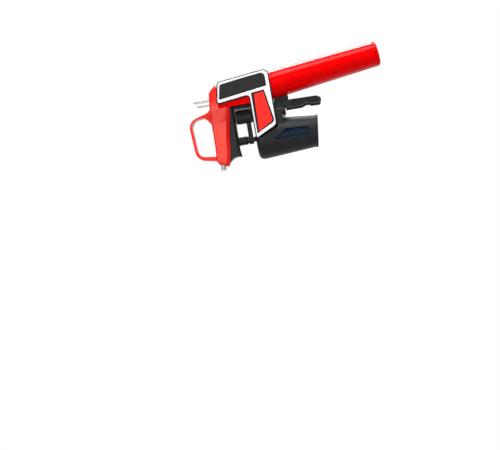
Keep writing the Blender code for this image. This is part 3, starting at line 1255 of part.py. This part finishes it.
def build_cup():
    """The screw-on cup, the pad in it and the gas capsule."""
    relief = CUP_BORE_RADIUS + SPIGOT_RADIUS + GAP - CUP_BORE_RADIUS
    spigot_room = CUP_TOP - SPIGOT_LENGTH - 2 * GAP
    profile = []
    for radius_share, drop_share in CUP_END_SHARES:
        profile.append((CUP_END_RADIUS * radius_share, CUP_END + CUP_ROUND * (1 - drop_share)))
    profile += [
        (CUP_TOP_RADIUS, CUP_TOP), (relief, CUP_TOP), (relief, spigot_room),
        (CUP_BORE_RADIUS, spigot_room - (relief - CUP_BORE_RADIUS)), (CUP_BORE_RADIUS, CUP_FLOOR_TOP),
        (RELIEF_RADIUS, CUP_FLOOR_TOP), (RELIEF_RADIUS, CUP_END + RELIEF_FLOOR), (0, CUP_END + RELIEF_FLOOR),
    ]
    origin = HANDLE_FRAME @ Vector((0, 0, CUP_TOP))
    cup = node("capsule_cup", turned(profile, HANDLE_FRAME), RED, origin)
    vent_height = CUP_END + VENT_HEIGHT
    wide = CUP_TOP_RADIUS + OVERRUN
    for number in range(VENT_PAIRS):
        angle = math.pi * (number + 0.5) / VENT_PAIRS
        reach = Vector((math.cos(angle) * wide, math.sin(angle) * wide, 0))
        middle = Vector((0, 0, vent_height))
        cut(cup, rod(VENT_RADIUS, HANDLE_FRAME @ (middle - reach), HANDLE_FRAME @ (middle + reach), FINE_STEPS - 8))
    pad = ((0, CUP_FLOOR_TOP + GAP), (CUP_PAD_RADIUS, CUP_FLOOR_TOP + GAP),
           (CUP_PAD_RADIUS, CUP_FLOOR_TOP + GAP + CUP_PAD_HEIGHT), (0, CUP_FLOOR_TOP + GAP + CUP_PAD_HEIGHT))
    node("cup_pad", turned(pad, HANDLE_FRAME, FINE_STEPS + 4), RUBBER)
    neck_low = CAPSULE_TOP - CAPSULE_NECK_LENGTH
    waist = neck_low - CAPSULE_SHOULDER
    middle_radius = (CAPSULE_RADIUS + CAPSULE_NECK_RADIUS) / 2
    inner = CAPSULE_RADIUS - CAPSULE_WALL
    capsule = (
        (0, CAPSULE_BASE), (CAPSULE_RADIUS - CAPSULE_BASE_ROUND, CAPSULE_BASE),
        (CAPSULE_RADIUS - CAPSULE_BASE_ROUND * 0.3, CAPSULE_BASE + CAPSULE_BASE_ROUND * 0.3),
        (CAPSULE_RADIUS, CAPSULE_BASE + CAPSULE_BASE_ROUND), (CAPSULE_RADIUS, waist),
        (CAPSULE_RADIUS * 0.93, waist + CAPSULE_SHOULDER * 0.35), (middle_radius, waist + CAPSULE_SHOULDER * 0.72),
        (CAPSULE_NECK_RADIUS, neck_low), (CAPSULE_NECK_RADIUS, CAPSULE_TOP),
        (CAPSULE_HOLE_RADIUS, CAPSULE_TOP), (CAPSULE_HOLE_RADIUS, CAPSULE_TOP - CAPSULE_WALL),
        (CAPSULE_NECK_RADIUS - CAPSULE_WALL, CAPSULE_TOP - CAPSULE_WALL),
        (CAPSULE_NECK_RADIUS - CAPSULE_WALL, neck_low), (inner, waist - CAPSULE_WALL),
        (inner, CAPSULE_BASE + CAPSULE_BASE_ROUND), (CAPSULE_RADIUS - CAPSULE_BASE_ROUND, CAPSULE_BASE + CAPSULE_WALL),
        (0, CAPSULE_BASE + CAPSULE_WALL),
    )
    node("gas_capsule", turned(capsule, HANDLE_FRAME, TURN_STEPS - 8), STEEL, origin)


def main():
    for item in list(bpy.data.objects):
        bpy.data.objects.remove(item, do_unlink=True)
    build_base_frame()
    build_base_fittings()
    build_jaws()
    build_housing()
    build_liner()
    build_head()
    build_wedge()
    build_needle()
    build_sides()
    build_regulator()
    build_valve()
    build_trigger()
    build_cup()


main()
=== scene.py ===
"""Looks of the wine preservation dispenser: finishes, eased edges and a plain studio."""

import json
import math

import bmesh
import bpy
from bpy.props import FloatProperty, FloatVectorProperty, PointerProperty
from mathutils import Matrix, Vector


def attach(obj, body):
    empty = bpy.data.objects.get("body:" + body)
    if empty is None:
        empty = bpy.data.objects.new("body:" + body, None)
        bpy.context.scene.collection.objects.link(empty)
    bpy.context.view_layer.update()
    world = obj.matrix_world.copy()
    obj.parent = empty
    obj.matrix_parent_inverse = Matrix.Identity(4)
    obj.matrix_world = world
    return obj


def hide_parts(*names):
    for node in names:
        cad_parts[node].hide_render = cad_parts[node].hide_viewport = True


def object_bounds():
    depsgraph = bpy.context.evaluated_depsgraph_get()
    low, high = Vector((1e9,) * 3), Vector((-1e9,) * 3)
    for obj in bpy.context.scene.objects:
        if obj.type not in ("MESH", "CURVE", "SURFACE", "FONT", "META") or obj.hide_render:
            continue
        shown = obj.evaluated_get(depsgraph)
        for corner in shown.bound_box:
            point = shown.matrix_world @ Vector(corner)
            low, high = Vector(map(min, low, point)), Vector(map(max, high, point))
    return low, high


bl_info = {
    "name": "Wine Preservation Dispenser",
    "version": (1, 0, 0),
    "blender": (4, 5, 0),
    "location": "3D View > Sidebar > Dispenser",
    "description": "Finishes the packed dispenser and sets up its studio",
    "category": "Object",
}

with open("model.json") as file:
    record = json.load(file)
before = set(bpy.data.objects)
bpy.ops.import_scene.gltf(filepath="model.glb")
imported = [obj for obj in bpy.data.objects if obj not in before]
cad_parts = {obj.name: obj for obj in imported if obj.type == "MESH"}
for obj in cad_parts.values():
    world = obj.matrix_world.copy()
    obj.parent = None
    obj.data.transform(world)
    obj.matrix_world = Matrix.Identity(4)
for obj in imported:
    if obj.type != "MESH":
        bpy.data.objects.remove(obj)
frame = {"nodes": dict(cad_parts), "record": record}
NODES = frame["nodes"]
BODY_OF = {
    node: body
    for body, members in frame["record"]["behaviour"]["bodies"].items()
    for node in members
}
SLOT_OF = {part["node"]: part["material_slot"] for part in frame["record"]["subparts"]}
CAD_BOX = [list(corner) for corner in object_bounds()]

MILLIMETRE = 0.001
MERGE_DISTANCE = 0.000002
FLAT_ANGLE = math.radians(0.8)
CREASE_ANGLE = math.radians(34)
BEVEL_SEGMENTS = 3

# Mask values between which a finish runs from its darker to its lighter shade
RAMP_LOW = 0.3
RAMP_HIGH = 0.7

# Fine threads across each rib of the grip's weave, and their share of its height
THREADS_PER_RIB = 3
THREAD_HEIGHT = 0.12

# The photograph's camera: where it stands and how it is turned
SENSOR_WIDTH = 36.0
CAMERA_PLACE = Vector((-0.0982, -1.0107, -0.0396))
CAMERA_RIGHT = Vector((-0.16130, 0.06105, -0.98501))
CAMERA_UP = Vector((0.98686, 0.0, -0.16160))
CAMERA_BACK = Vector((-0.00987, -0.99813, -0.06025))
CLIP_START = 0.01
CLIP_END = 50.0

FLOOR_COLOUR = (0.86, 0.86, 0.86)
FLOOR_ROUGHNESS = 0.9
# Share of plain white that the camera and mirrors see in the floor
FLOOR_GLOW = 0.85
# Rays that see the white backdrop besides the camera's
SEEING_RAYS = ("Is Glossy Ray", "Is Transmission Ray")

# What the lamps face
PART_MIDDLE = (0.04, 0, -0.04)
HEAD_MIDDLE = (0, 0, 0.03)
ORIGIN = (0, 0, 0)

# Each lamp's name, place, target, width, height, power setting, and whether surfaces mirror it
LAMPS = (
    ("key_softbox", (1.05, -0.45, 0.10), PART_MIDDLE, 0.5, 0.8, "key_power", True),
    ("band_softbox", (0.75, 0.46, -0.10), PART_MIDDLE, 0.33, 0.4, "band_power", True),
    ("head_softbox", (-0.35, -1.15, 0.14), HEAD_MIDDLE, 0.70, 0.3, "head_power", True),
    ("inset_softbox", (0.37, -1.20, 0.01), ORIGIN, 0.36, 0.12, "inset_power", True),
    ("fill_lamp", (-0.15, -1.15, 0.0), ORIGIN, 0.4, 0.4, "fill_power", False),
)

# Moulded and machined pieces, each with the width of its eased edges in millimetres,
# where 0 keeps them sharp
EASED_EDGES = {
    "body_housing": 0.5,
    "head_shell": 0.7,
    "head_underside": 0.4,
    "base_frame": 0.35,
    "jaw_left": 0.4,
    "jaw_right": 0.4,
    "trigger": 0.5,
    "capsule_cup": 0.25,
    "side_plate_left": 0.45,
    "side_plate_right": 0.45,
    "side_trim_left": 0.0,
    "side_trim_right": 0.0,
    "grip_panel_left": 0.0,
    "grip_panel_right": 0.0,
    "inset_panel_left": 0.0,
    "inset_panel_right": 0.0,
    "slide_rail_left": 0.25,
    "slide_rail_right": 0.25,
    "spout_tube": 0.15,
    "needle_hub": 0.12,
    "needle_guide": 0.15,
    "bumper_ring": 0.25,
    "hinge_pin_left": 0.2,
    "hinge_pin_right": 0.2,
    "trigger_pin": 0.15,
    "valve_body": 0.15,
    "regulator_body": 0.15,
    "gas_capsule": 0.0,
    "jaw_pad_left": 0.2,
    "jaw_pad_right": 0.2,
}


class Value:
    """A number flowing between shader nodes; arithmetic on it adds Math nodes."""

    def __init__(self, finish, socket):
        self.finish = finish
        self.socket = socket

    def math(self, operation, *values):
        return self.finish.node("ShaderNodeMath", {"operation": operation}, values)

    def __add__(self, other):
        return self.math("ADD", self, other)

    def __sub__(self, other):
        return self.math("SUBTRACT", self, other)

    def __mul__(self, other):
        return self.math("MULTIPLY", self, other)

    def sine(self):
        return self.math("SINE", self)

    def clamped(self):
        return self.math("MAXIMUM", self.math("MINIMUM", self, 1.0), 0.0)


class Finish:
    """A Principled material and the nodes that vary it over a surface."""

    def __init__(self, name, colour, roughness, metallic=0.0, **constants):
        self.material = bpy.data.materials.new(name)
        self.material.use_nodes = True
        self.tree = self.material.node_tree
        self.shader = self.tree.nodes["Principled BSDF"]
        self.colour = (*colour[:3], 1.0)
        self.shader.inputs["Base Color"].default_value = self.colour
        self.shader.inputs["Roughness"].default_value = roughness
        self.shader.inputs["Metallic"].default_value = metallic
        for socket, value in constants.items():
            self.shader.inputs[socket.replace("_", " ")].default_value = value
        self.material.diffuse_color = self.colour

    def node(self, kind, settings=None, values=(), output=0):
        """A new node: its settings first, then the values or links of its sockets."""
        node = self.tree.nodes.new(kind)
        for setting, value in (settings or {}).items():
            if setting == "stops":
                ramp = node.color_ramp.elements
                while len(ramp) < len(value):
                    ramp.new(1.0)
                for element, (position, colour) in zip(ramp, value):
                    element.position = position
                    element.color = colour
            else:
                setattr(node, setting, value)
        pairs = values.items() if isinstance(values, dict) else enumerate(values)
        for key, value in pairs:
            self.feed(node.inputs[key], value)
        return Value(self, node.outputs[output])

    def feed(self, socket, value):
        if isinstance(value, Value):
            self.tree.links.new(value.socket, socket)
        else:
            socket.default_value = value

    def point(self, stretch=(1, 1, 1), turn=(0, 0, 0)):
        """The surface point in object coordinates, stretched and turned."""
        place = self.node("ShaderNodeTexCoord", output="Object")
        values = {"Vector": place, "Scale": stretch, "Rotation": turn}
        return self.node("ShaderNodeMapping", {}, values)

    def noise(self, scale, detail=2.0, stretch=(1, 1, 1), turn=(0, 0, 0)):
        values = {"Vector": self.point(stretch, turn), "Scale": scale, "Detail": detail}
        return self.node("ShaderNodeTexNoise", {}, values)

    def cells(self, scale):
        return self.node("ShaderNodeTexVoronoi", {}, {"Vector": self.point(), "Scale": scale})

    def tint(self, mask, darker, lighter):
        """Base colour between two shades of the finish's own colour."""
        low = [channel * darker for channel in self.colour[:3]] + [1.0]
        high = [min(channel * lighter, 1.0) for channel in self.colour[:3]] + [1.0]
        stops = ((RAMP_LOW, low), (RAMP_HIGH, high))
        shade = self.node("ShaderNodeValToRGB", {"stops": stops}, [mask])
        self.feed(self.shader.inputs["Base Color"], shade)

    def gloss(self, mask, smooth, rough):
        """Roughness between two values, where the mask is low and high."""
        self.feed(self.shader.inputs["Roughness"], mask * (rough - smooth) + smooth)

    def bump(self, height, depth, strength):
        """Relief of a depth in metres."""
        relief = self.node(
            "ShaderNodeBump", {}, {"Height": height, "Distance": depth, "Strength": strength}
        )
        self.feed(self.shader.inputs["Normal"], relief)


def red_gloss(settings):
    finish = Finish(
        "red_gloss_enamel", settings.red, roughness=0.16, Specular_Tint=(1.0, 0.03, 0.03, 1.0),
        Specular_IOR_Level=0.5,
    )
    finish.tint(finish.noise(scale=60, detail=3.0), darker=0.95, lighter=1.03)
    finish.gloss(finish.noise(scale=420, detail=4.0), smooth=0.13, rough=0.19)
    finish.bump(finish.noise(scale=900, detail=2.0), depth=0.000004, strength=0.3)
    return finish


def red_satin(settings):
    """The same enamel with a satin surface, on the flat sides."""
    finish = Finish(
        "red_satin_enamel", settings.red, roughness=0.30, Specular_Tint=(1.0, 0.60, 0.45, 1.0),
        Specular_IOR_Level=0.5,
    )
    finish.tint(finish.noise(scale=60, detail=3.0), darker=0.95, lighter=1.03)
    finish.gloss(finish.noise(scale=420, detail=4.0), smooth=0.26, rough=0.34)
    finish.bump(finish.noise(scale=900, detail=2.0), depth=0.000006, strength=0.3)
    return finish


def charcoal_plastic(settings):
    finish = Finish("charcoal_moulding", settings.charcoal, roughness=0.42, Specular_IOR_Level=0.12)
    finish.tint(finish.noise(scale=140, detail=4.0), darker=0.86, lighter=1.15)
    finish.gloss(finish.noise(scale=700, detail=3.0), smooth=0.34, rough=0.52)
    pores = finish.cells(scale=3800) + finish.noise(scale=2400, detail=2.0)
    finish.bump(pores, depth=0.00003, strength=0.55)
    return finish


def black_plastic(settings):
    finish = Finish("black_moulding", settings.black, roughness=0.35, Specular_IOR_Level=0.12)
    finish.tint(finish.noise(scale=160, detail=3.0), darker=0.8, lighter=1.3)
    finish.gloss(finish.noise(scale=800, detail=3.0), smooth=0.28, rough=0.44)
    finish.bump(finish.noise(scale=2600, detail=3.0), depth=0.00002, strength=0.5)
    return finish


def polished_steel(settings):
    finish = Finish("polished_steel", settings.steel, roughness=0.18, metallic=1.0)
    grain = finish.noise(scale=1.0, detail=5.0, stretch=(3200, 3200, 90))
    finish.tint(grain, darker=0.90, lighter=1.05)
    finish.gloss(grain, smooth=0.12, rough=0.30)
    finish.bump(grain, depth=0.000004, strength=0.5)
    return finish


def satin_silver(settings):
    finish = Finish("satin_silver", settings.silver, roughness=0.28, metallic=0.2)
    grain = finish.noise(scale=1.0, detail=5.0, stretch=(260, 2600, 2600), turn=(0, 0.12, 0))
    finish.tint(grain, darker=0.95, lighter=1.03)
    finish.gloss(grain, smooth=0.20, rough=0.36)
    finish.bump(grain, depth=0.000003, strength=0.5)
    return finish


def turned_brass(settings):
    finish = Finish("turned_brass", settings.brass, roughness=0.28, metallic=1.0)
    grain = finish.noise(scale=1.0, detail=4.0, stretch=(420, 420, 2600))
    finish.tint(grain, darker=0.85, lighter=1.08)
    finish.gloss(grain, smooth=0.2, rough=0.38)
    finish.bump(grain, depth=0.000004, strength=0.5)
    return finish


def navy_rubber(settings):
    finish = Finish("navy_lining", settings.navy, roughness=0.5, Specular_IOR_Level=0.15)
    finish.tint(finish.noise(scale=220, detail=3.0), darker=0.75, lighter=1.3)
    finish.gloss(finish.noise(scale=900, detail=3.0), smooth=0.42, rough=0.62)
    finish.bump(finish.cells(scale=2400), depth=0.00005, strength=0.6)
    return finish


def black_rubber(settings):
    finish = Finish("black_rubber", settings.rubber, roughness=0.7)
    finish.tint(finish.noise(scale=200, detail=3.0), darker=0.8, lighter=1.25)
    finish.gloss(finish.noise(scale=900, detail=3.0), smooth=0.6, rough=0.8)
    finish.bump(finish.noise(scale=3000, detail=3.0), depth=0.00003, strength=0.6)
    return finish


def woven_grip(settings):
    """A fine diagonal weave moulded in the grip: ribs along both diagonals of XZ, with painted
    shade, the ribs painted lighter and the hollows painted darker.
    """
    finish = Finish("woven_grip", settings.grip, roughness=0.6, Specular_IOR_Level=0.1)
    across = finish.node("ShaderNodeSeparateXYZ", {}, [finish.point()])
    up = Value(finish, across.socket.node.outputs["Z"])
    turns = 2 * math.pi / settings.weave_pitch
    first = ((across + up) * turns).sine()
    second = ((across - up) * turns).sine()
    over = (first * second) * 0.5 + 0.5
    thread = ((across + up) * (turns * THREADS_PER_RIB)).sine() * THREAD_HEIGHT
    height = (over + thread).clamped()
    # Painted shade: the colour follows the weave's relief, lighter on the ribs and darker in the
    # hollows
    finish.tint(height, darker=0.45, lighter=1.7)
    finish.gloss(height, smooth=0.72, rough=0.48)
    finish.bump(height, depth=0.00022, strength=0.9)
    return finish


FINISHES = {
    "red_gloss": red_gloss,
    "charcoal_plastic": charcoal_plastic,
    "black_plastic": black_plastic,
    "polished_steel": polished_steel,
    "satin_silver": satin_silver,
    "turned_brass": turned_brass,
    "navy_rubber": navy_rubber,
    "black_rubber": black_rubber,
}


def eased_copy(node, width):
    """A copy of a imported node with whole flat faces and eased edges."""
    shape = bmesh.new()
    shape.from_mesh(NODES[node].data)
    bmesh.ops.remove_doubles(shape, verts=shape.verts, dist=MERGE_DISTANCE)
    bmesh.ops.dissolve_limit(
        shape, angle_limit=FLAT_ANGLE, use_dissolve_boundaries=False, verts=shape.verts,
        edges=shape.edges,
    )
    mesh = bpy.data.meshes.new(f"{node}_finished")
    shape.to_mesh(mesh)
    shape.free()
    mesh.shade_smooth()
    mesh.set_sharp_from_angle(angle=CREASE_ANGLE)
    piece = bpy.data.objects.new(f"{node}_finished", mesh)
    bpy.context.scene.collection.objects.link(piece)
    if width > 0:
        bevel = piece.modifiers.new("eased_edges", "BEVEL")
        bevel.width = width * MILLIMETRE
        bevel.segments = BEVEL_SEGMENTS
        bevel.limit_method = "ANGLE"
        bevel.angle_limit = CREASE_ANGLE
        bevel.harden_normals = False
        bevel.use_clamp_overlap = True
    normals = piece.modifiers.new("face_weighted_normals", "WEIGHTED_NORMAL")
    normals.keep_sharp = True
    return piece


def dress(piece, node, finish):
    """The piece takes the node's place, body, slot and finish."""
    piece.data.materials.clear()
    piece.data.materials.append(finish.material)
    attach(piece, BODY_OF[node])
    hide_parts(node)


# Finishes made so far, by material slot
MADE = {}


def finish_named(settings, slot):
    """The finish of a material slot, made once."""
    if slot not in MADE:
        MADE[slot] = FINISHES[slot](settings)
    return MADE[slot]


class FinishSettings(bpy.types.PropertyGroup):
    """Colours of the finishes."""

    red: FloatVectorProperty(
        name="Red", description="Enamel of the housing, head and cup", subtype="COLOR", size=3,
        default=(0.78, 0.0006, 0.0012), min=0, max=1,
    )
    charcoal: FloatVectorProperty(
        name="Charcoal", description="Moulding of the clamp", subtype="COLOR", size=3,
        default=(0.013, 0.0137, 0.0148), min=0, max=1,
    )
    black: FloatVectorProperty(
        name="Black", description="Moulding of the side plates", subtype="COLOR", size=3,
        default=(0.006, 0.006, 0.007), min=0, max=1,
    )
    steel: FloatVectorProperty(
        name="Steel", description="Rails, pins and tubes", subtype="COLOR", size=3,
        default=(0.38, 0.37, 0.36), min=0, max=1,
    )
    silver: FloatVectorProperty(
        name="Silver", description="Trim and trigger", subtype="COLOR", size=3,
        default=(0.68, 0.69, 0.70), min=0, max=1,
    )
    brass: FloatVectorProperty(
        name="Brass", description="Regulator and valve", subtype="COLOR", size=3,
        default=(0.60, 0.44, 0.18), min=0, max=1,
    )
    navy: FloatVectorProperty(
        name="Navy", description="Lining of the jaws", subtype="COLOR", size=3,
        default=(0.003, 0.016, 0.045), min=0, max=1,
    )
    rubber: FloatVectorProperty(
        name="Rubber", description="Seals and bumper", subtype="COLOR", size=3,
        default=(0.012, 0.012, 0.012), min=0, max=1,
    )
    grip: FloatVectorProperty(
        name="Grip", description="Woven grip panels", subtype="COLOR", size=3,
        default=(0.018, 0.0185, 0.019), min=0, max=1,
    )
    weave_pitch: FloatProperty(
        name="Weave pitch", description="Distance between ribs of the grip's weave",
        default=0.0026, min=0.0005, max=0.005, unit="LENGTH",
    )


class StudioSettings(bpy.types.PropertyGroup):
    """Camera, lamps and floor."""

    lens: FloatProperty(
        name="Lens", description="Focal length on the 36 mm sensor", default=69.4, min=20, max=200,
    )
    floor_drop: FloatProperty(
        name="Floor drop", description="Height of the dispenser's lowest point above the floor",
        default=0.55, min=0.0, max=1.0, unit="LENGTH",
    )
    floor_size: FloatProperty(
        name="Floor size", description="Side of the square floor", default=2.0, min=1.0, max=40.0,
        unit="LENGTH",
    )
    key_power: FloatProperty(
        name="Key power", description="Power of the broad softbox above the handle", default=17.0,
        min=0.0, max=100.0, unit="POWER",
    )
    band_power: FloatProperty(
        name="Band power", description="Power of the long softbox behind the handle's upper edge",
        default=5.5, min=0.0, max=100.0, unit="POWER",
    )
    head_power: FloatProperty(
        name="Head power", description="Power of the softbox mirrored in the side of the head",
        default=4.6, min=0.0, max=100.0, unit="POWER",
    )
    inset_power: FloatProperty(
        name="Inset power", description="Power of the softbox mirrored in the inset panel",
        default=0.8,
        min=0.0, max=100.0, unit="POWER",
    )
    fill_power: FloatProperty(
        name="Fill power", description="Power of the lamp that fills from the camera's side",
        default=2.0, min=0.0, max=100.0, unit="POWER",
    )
    ambient: FloatProperty(
        name="Ambient", description="Brightness of the surroundings",
        default=0.20, min=0.0, max=2.0,
    )


class DISPENSER_OT_housing(bpy.types.Operator):
    """Finish the red housing, head, spout and cup"""

    bl_idname = "dispenser.housing"
    bl_label = "Housing and Head"

    def execute(self, context):
        settings = context.scene.dispenser_finish
        satin = red_satin(settings)
        for node in ("body_housing", "head_shell", "head_underside", "spout_tube", "capsule_cup"):
            piece = eased_copy(node, EASED_EDGES[node])
            finish = satin if node == "head_shell" else finish_named(settings, SLOT_OF[node])
            dress(piece, node, finish)
        return {"FINISHED"}


class DISPENSER_OT_sides(bpy.types.Operator):
    """Finish the side plates, their trim and their panels"""

    bl_idname = "dispenser.sides"
    bl_label = "Sides"

    def execute(self, context):
        settings = context.scene.dispenser_finish
        own = {"grip_panel": woven_grip(settings), "inset_panel": red_satin(settings)}
        for side in ("left", "right"):
            for kind in ("side_plate", "side_trim", "grip_panel", "inset_panel"):
                node = f"{kind}_{side}"
                piece = eased_copy(node, EASED_EDGES[node])
                dress(piece, node, own.get(kind) or finish_named(settings, SLOT_OF[node]))
        return {"FINISHED"}


class DISPENSER_OT_clamp(bpy.types.Operator):
    """Finish the clamp base, jaws, pads, rails and pins"""

    bl_idname = "dispenser.clamp"
    bl_label = "Clamp"

    def execute(self, context):
        settings = context.scene.dispenser_finish
        for node in (
            "base_frame", "jaw_left", "jaw_right", "jaw_pad_left", "jaw_pad_right",
            "slide_rail_left", "slide_rail_right", "hinge_pin_left", "hinge_pin_right",
            "needle_guide", "bumper_ring",
        ):
            piece = eased_copy(node, EASED_EDGES[node])
            dress(piece, node, finish_named(settings, SLOT_OF[node]))
        return {"FINISHED"}


class DISPENSER_OT_works(bpy.types.Operator):
    """Finish the trigger, needle, valve, regulator, capsule and small fittings"""

    bl_idname = "dispenser.works"
    bl_label = "Gas Works"

    def execute(self, context):
        settings = context.scene.dispenser_finish
        for node in (
            "trigger", "trigger_pin", "needle_hub", "valve_body", "regulator_body", "gas_capsule",
        ):
            piece = eased_copy(node, EASED_EDGES[node])
            dress(piece, node, finish_named(settings, SLOT_OF[node]))
        for node, thing in NODES.items():
            if not thing.hide_render:
                thing.material_slots[0].material = finish_named(settings, SLOT_OF[node]).material
        return {"FINISHED"}


def softbox(name, place, target, width, height, power, mirrored):
    """A rectangular lamp that faces its target; surfaces mirror it or only take its light."""
    lamp = bpy.data.lights.new(name, "AREA")
    lamp.shape = "RECTANGLE"
    lamp.size = width
    lamp.size_y = height
    lamp.energy = power
    box = bpy.data.objects.new(name, lamp)
    box.visible_glossy = mirrored
    bpy.context.scene.collection.objects.link(box)
    place = Vector(place)
    aim = (Vector(target) - place).to_track_quat("-Z", "Y").to_matrix().to_4x4()
    box.matrix_world = Matrix.Translation(place) @ aim


class DISPENSER_OT_studio(bpy.types.Operator):
    """Set up the floor, surroundings, softboxes and camera"""

    bl_idname = "dispenser.studio"
    bl_label = "Studio"

    def execute(self, context):
        settings = context.scene.dispenser_studio
        self.floor(context, settings)
        self.surroundings(context, settings)
        for name, place, target, width, height, power, mirrored in LAMPS:
            softbox(name, place, target, width, height, getattr(settings, power), mirrored)
        self.camera(context, settings)
        context.scene.view_settings.view_transform = "Standard"
        return {"FINISHED"}

    def floor(self, context, settings):
        shape = bmesh.new()
        bmesh.ops.create_grid(shape, x_segments=1, y_segments=1, size=settings.floor_size / 2)
        level = CAD_BOX[0][2] - settings.floor_drop
        bmesh.ops.translate(shape, verts=shape.verts, vec=(0, 0, level))
        mesh = bpy.data.meshes.new("studio_floor")
        shape.to_mesh(mesh)
        shape.free()
        floor = bpy.data.objects.new("studio_floor", mesh)
        context.scene.collection.objects.link(floor)
        pale = Finish("pale_floor", FLOOR_COLOUR, FLOOR_ROUGHNESS)
        sight = pale.node("ShaderNodeLightPath", output="Is Camera Ray")
        for ray in SEEING_RAYS:
            sight = sight.math("MAXIMUM", sight, pale.node("ShaderNodeLightPath", output=ray))
        glow = pale.node("ShaderNodeEmission", {}, {"Color": (1, 1, 1, 1), "Strength": 1.0})
        surface = Value(pale, pale.shader.outputs["BSDF"])
        mixed = pale.node("ShaderNodeMixShader", {}, [sight * FLOOR_GLOW, surface, glow])
        pale.feed(pale.tree.nodes["Material Output"].inputs["Surface"], mixed)
        mesh.materials.append(pale.material)

    def surroundings(self, context, settings):
        world = bpy.data.worlds.new("studio_surroundings")
        world.use_nodes = True
        context.scene.world = world
        tree = world.node_tree
        background = tree.nodes["Background"]
        background.inputs["Color"].default_value = (1, 1, 1, 1)
        path = tree.nodes.new("ShaderNodeLightPath")
        strength = tree.nodes.new("ShaderNodeMapRange")
        strength.inputs["To Min"].default_value = settings.ambient
        strength.inputs["To Max"].default_value = 1.0
        shown = path.outputs["Is Camera Ray"]
        for ray in SEEING_RAYS:
            either = tree.nodes.new("ShaderNodeMath")
            either.operation = "MAXIMUM"
            tree.links.new(shown, either.inputs[0])
            tree.links.new(path.outputs[ray], either.inputs[1])
            shown = either.outputs[0]
        tree.links.new(shown, strength.inputs["Value"])
        tree.links.new(strength.outputs["Result"], background.inputs["Strength"])

    def camera(self, context, settings):
        lens = bpy.data.cameras.new("photograph_camera")
        lens.sensor_fit = "HORIZONTAL"
        lens.sensor_width = SENSOR_WIDTH
        lens.lens = settings.lens
        lens.clip_start = CLIP_START
        lens.clip_end = CLIP_END
        camera = bpy.data.objects.new("photograph_camera", lens)
        context.scene.collection.objects.link(camera)
        turn = Matrix((CAMERA_RIGHT, CAMERA_UP, CAMERA_BACK)).transposed().to_4x4()
        camera.matrix_world = Matrix.Translation(CAMERA_PLACE) @ turn
        context.scene.camera = camera


class DISPENSER_PT_panel(bpy.types.Panel):
    """Buttons and settings for the dispenser's looks"""

    bl_idname = "DISPENSER_PT_panel"
    bl_label = "Dispenser"
    bl_space_type = "VIEW_3D"
    bl_region_type = "UI"
    bl_category = "Dispenser"

    def draw(self, context):
        for group in (context.scene.dispenser_finish, context.scene.dispenser_studio):
            box = self.layout.box()
            for setting in group.bl_rna.properties:
                if setting.identifier not in ("name", "rna_type"):
                    box.prop(group, setting.identifier)
        for step in OPERATORS:
            self.layout.operator(step.bl_idname)


OPERATORS = (
    DISPENSER_OT_housing,
    DISPENSER_OT_sides,
    DISPENSER_OT_clamp,
    DISPENSER_OT_works,
    DISPENSER_OT_studio,
)
CLASSES = (FinishSettings, StudioSettings, *OPERATORS, DISPENSER_PT_panel)


def register():
    for item in CLASSES:
        bpy.utils.register_class(item)
    bpy.types.Scene.dispenser_finish = PointerProperty(type=FinishSettings)
    bpy.types.Scene.dispenser_studio = PointerProperty(type=StudioSettings)


def unregister():
    del bpy.types.Scene.dispenser_studio
    del bpy.types.Scene.dispenser_finish
    for item in reversed(CLASSES):
        bpy.utils.unregister_class(item)


def main():
    register()
    bpy.ops.dispenser.housing()
    bpy.ops.dispenser.sides()
    bpy.ops.dispenser.clamp()
    bpy.ops.dispenser.works()
    bpy.ops.dispenser.studio()


if __name__ == "__main__":
    main()
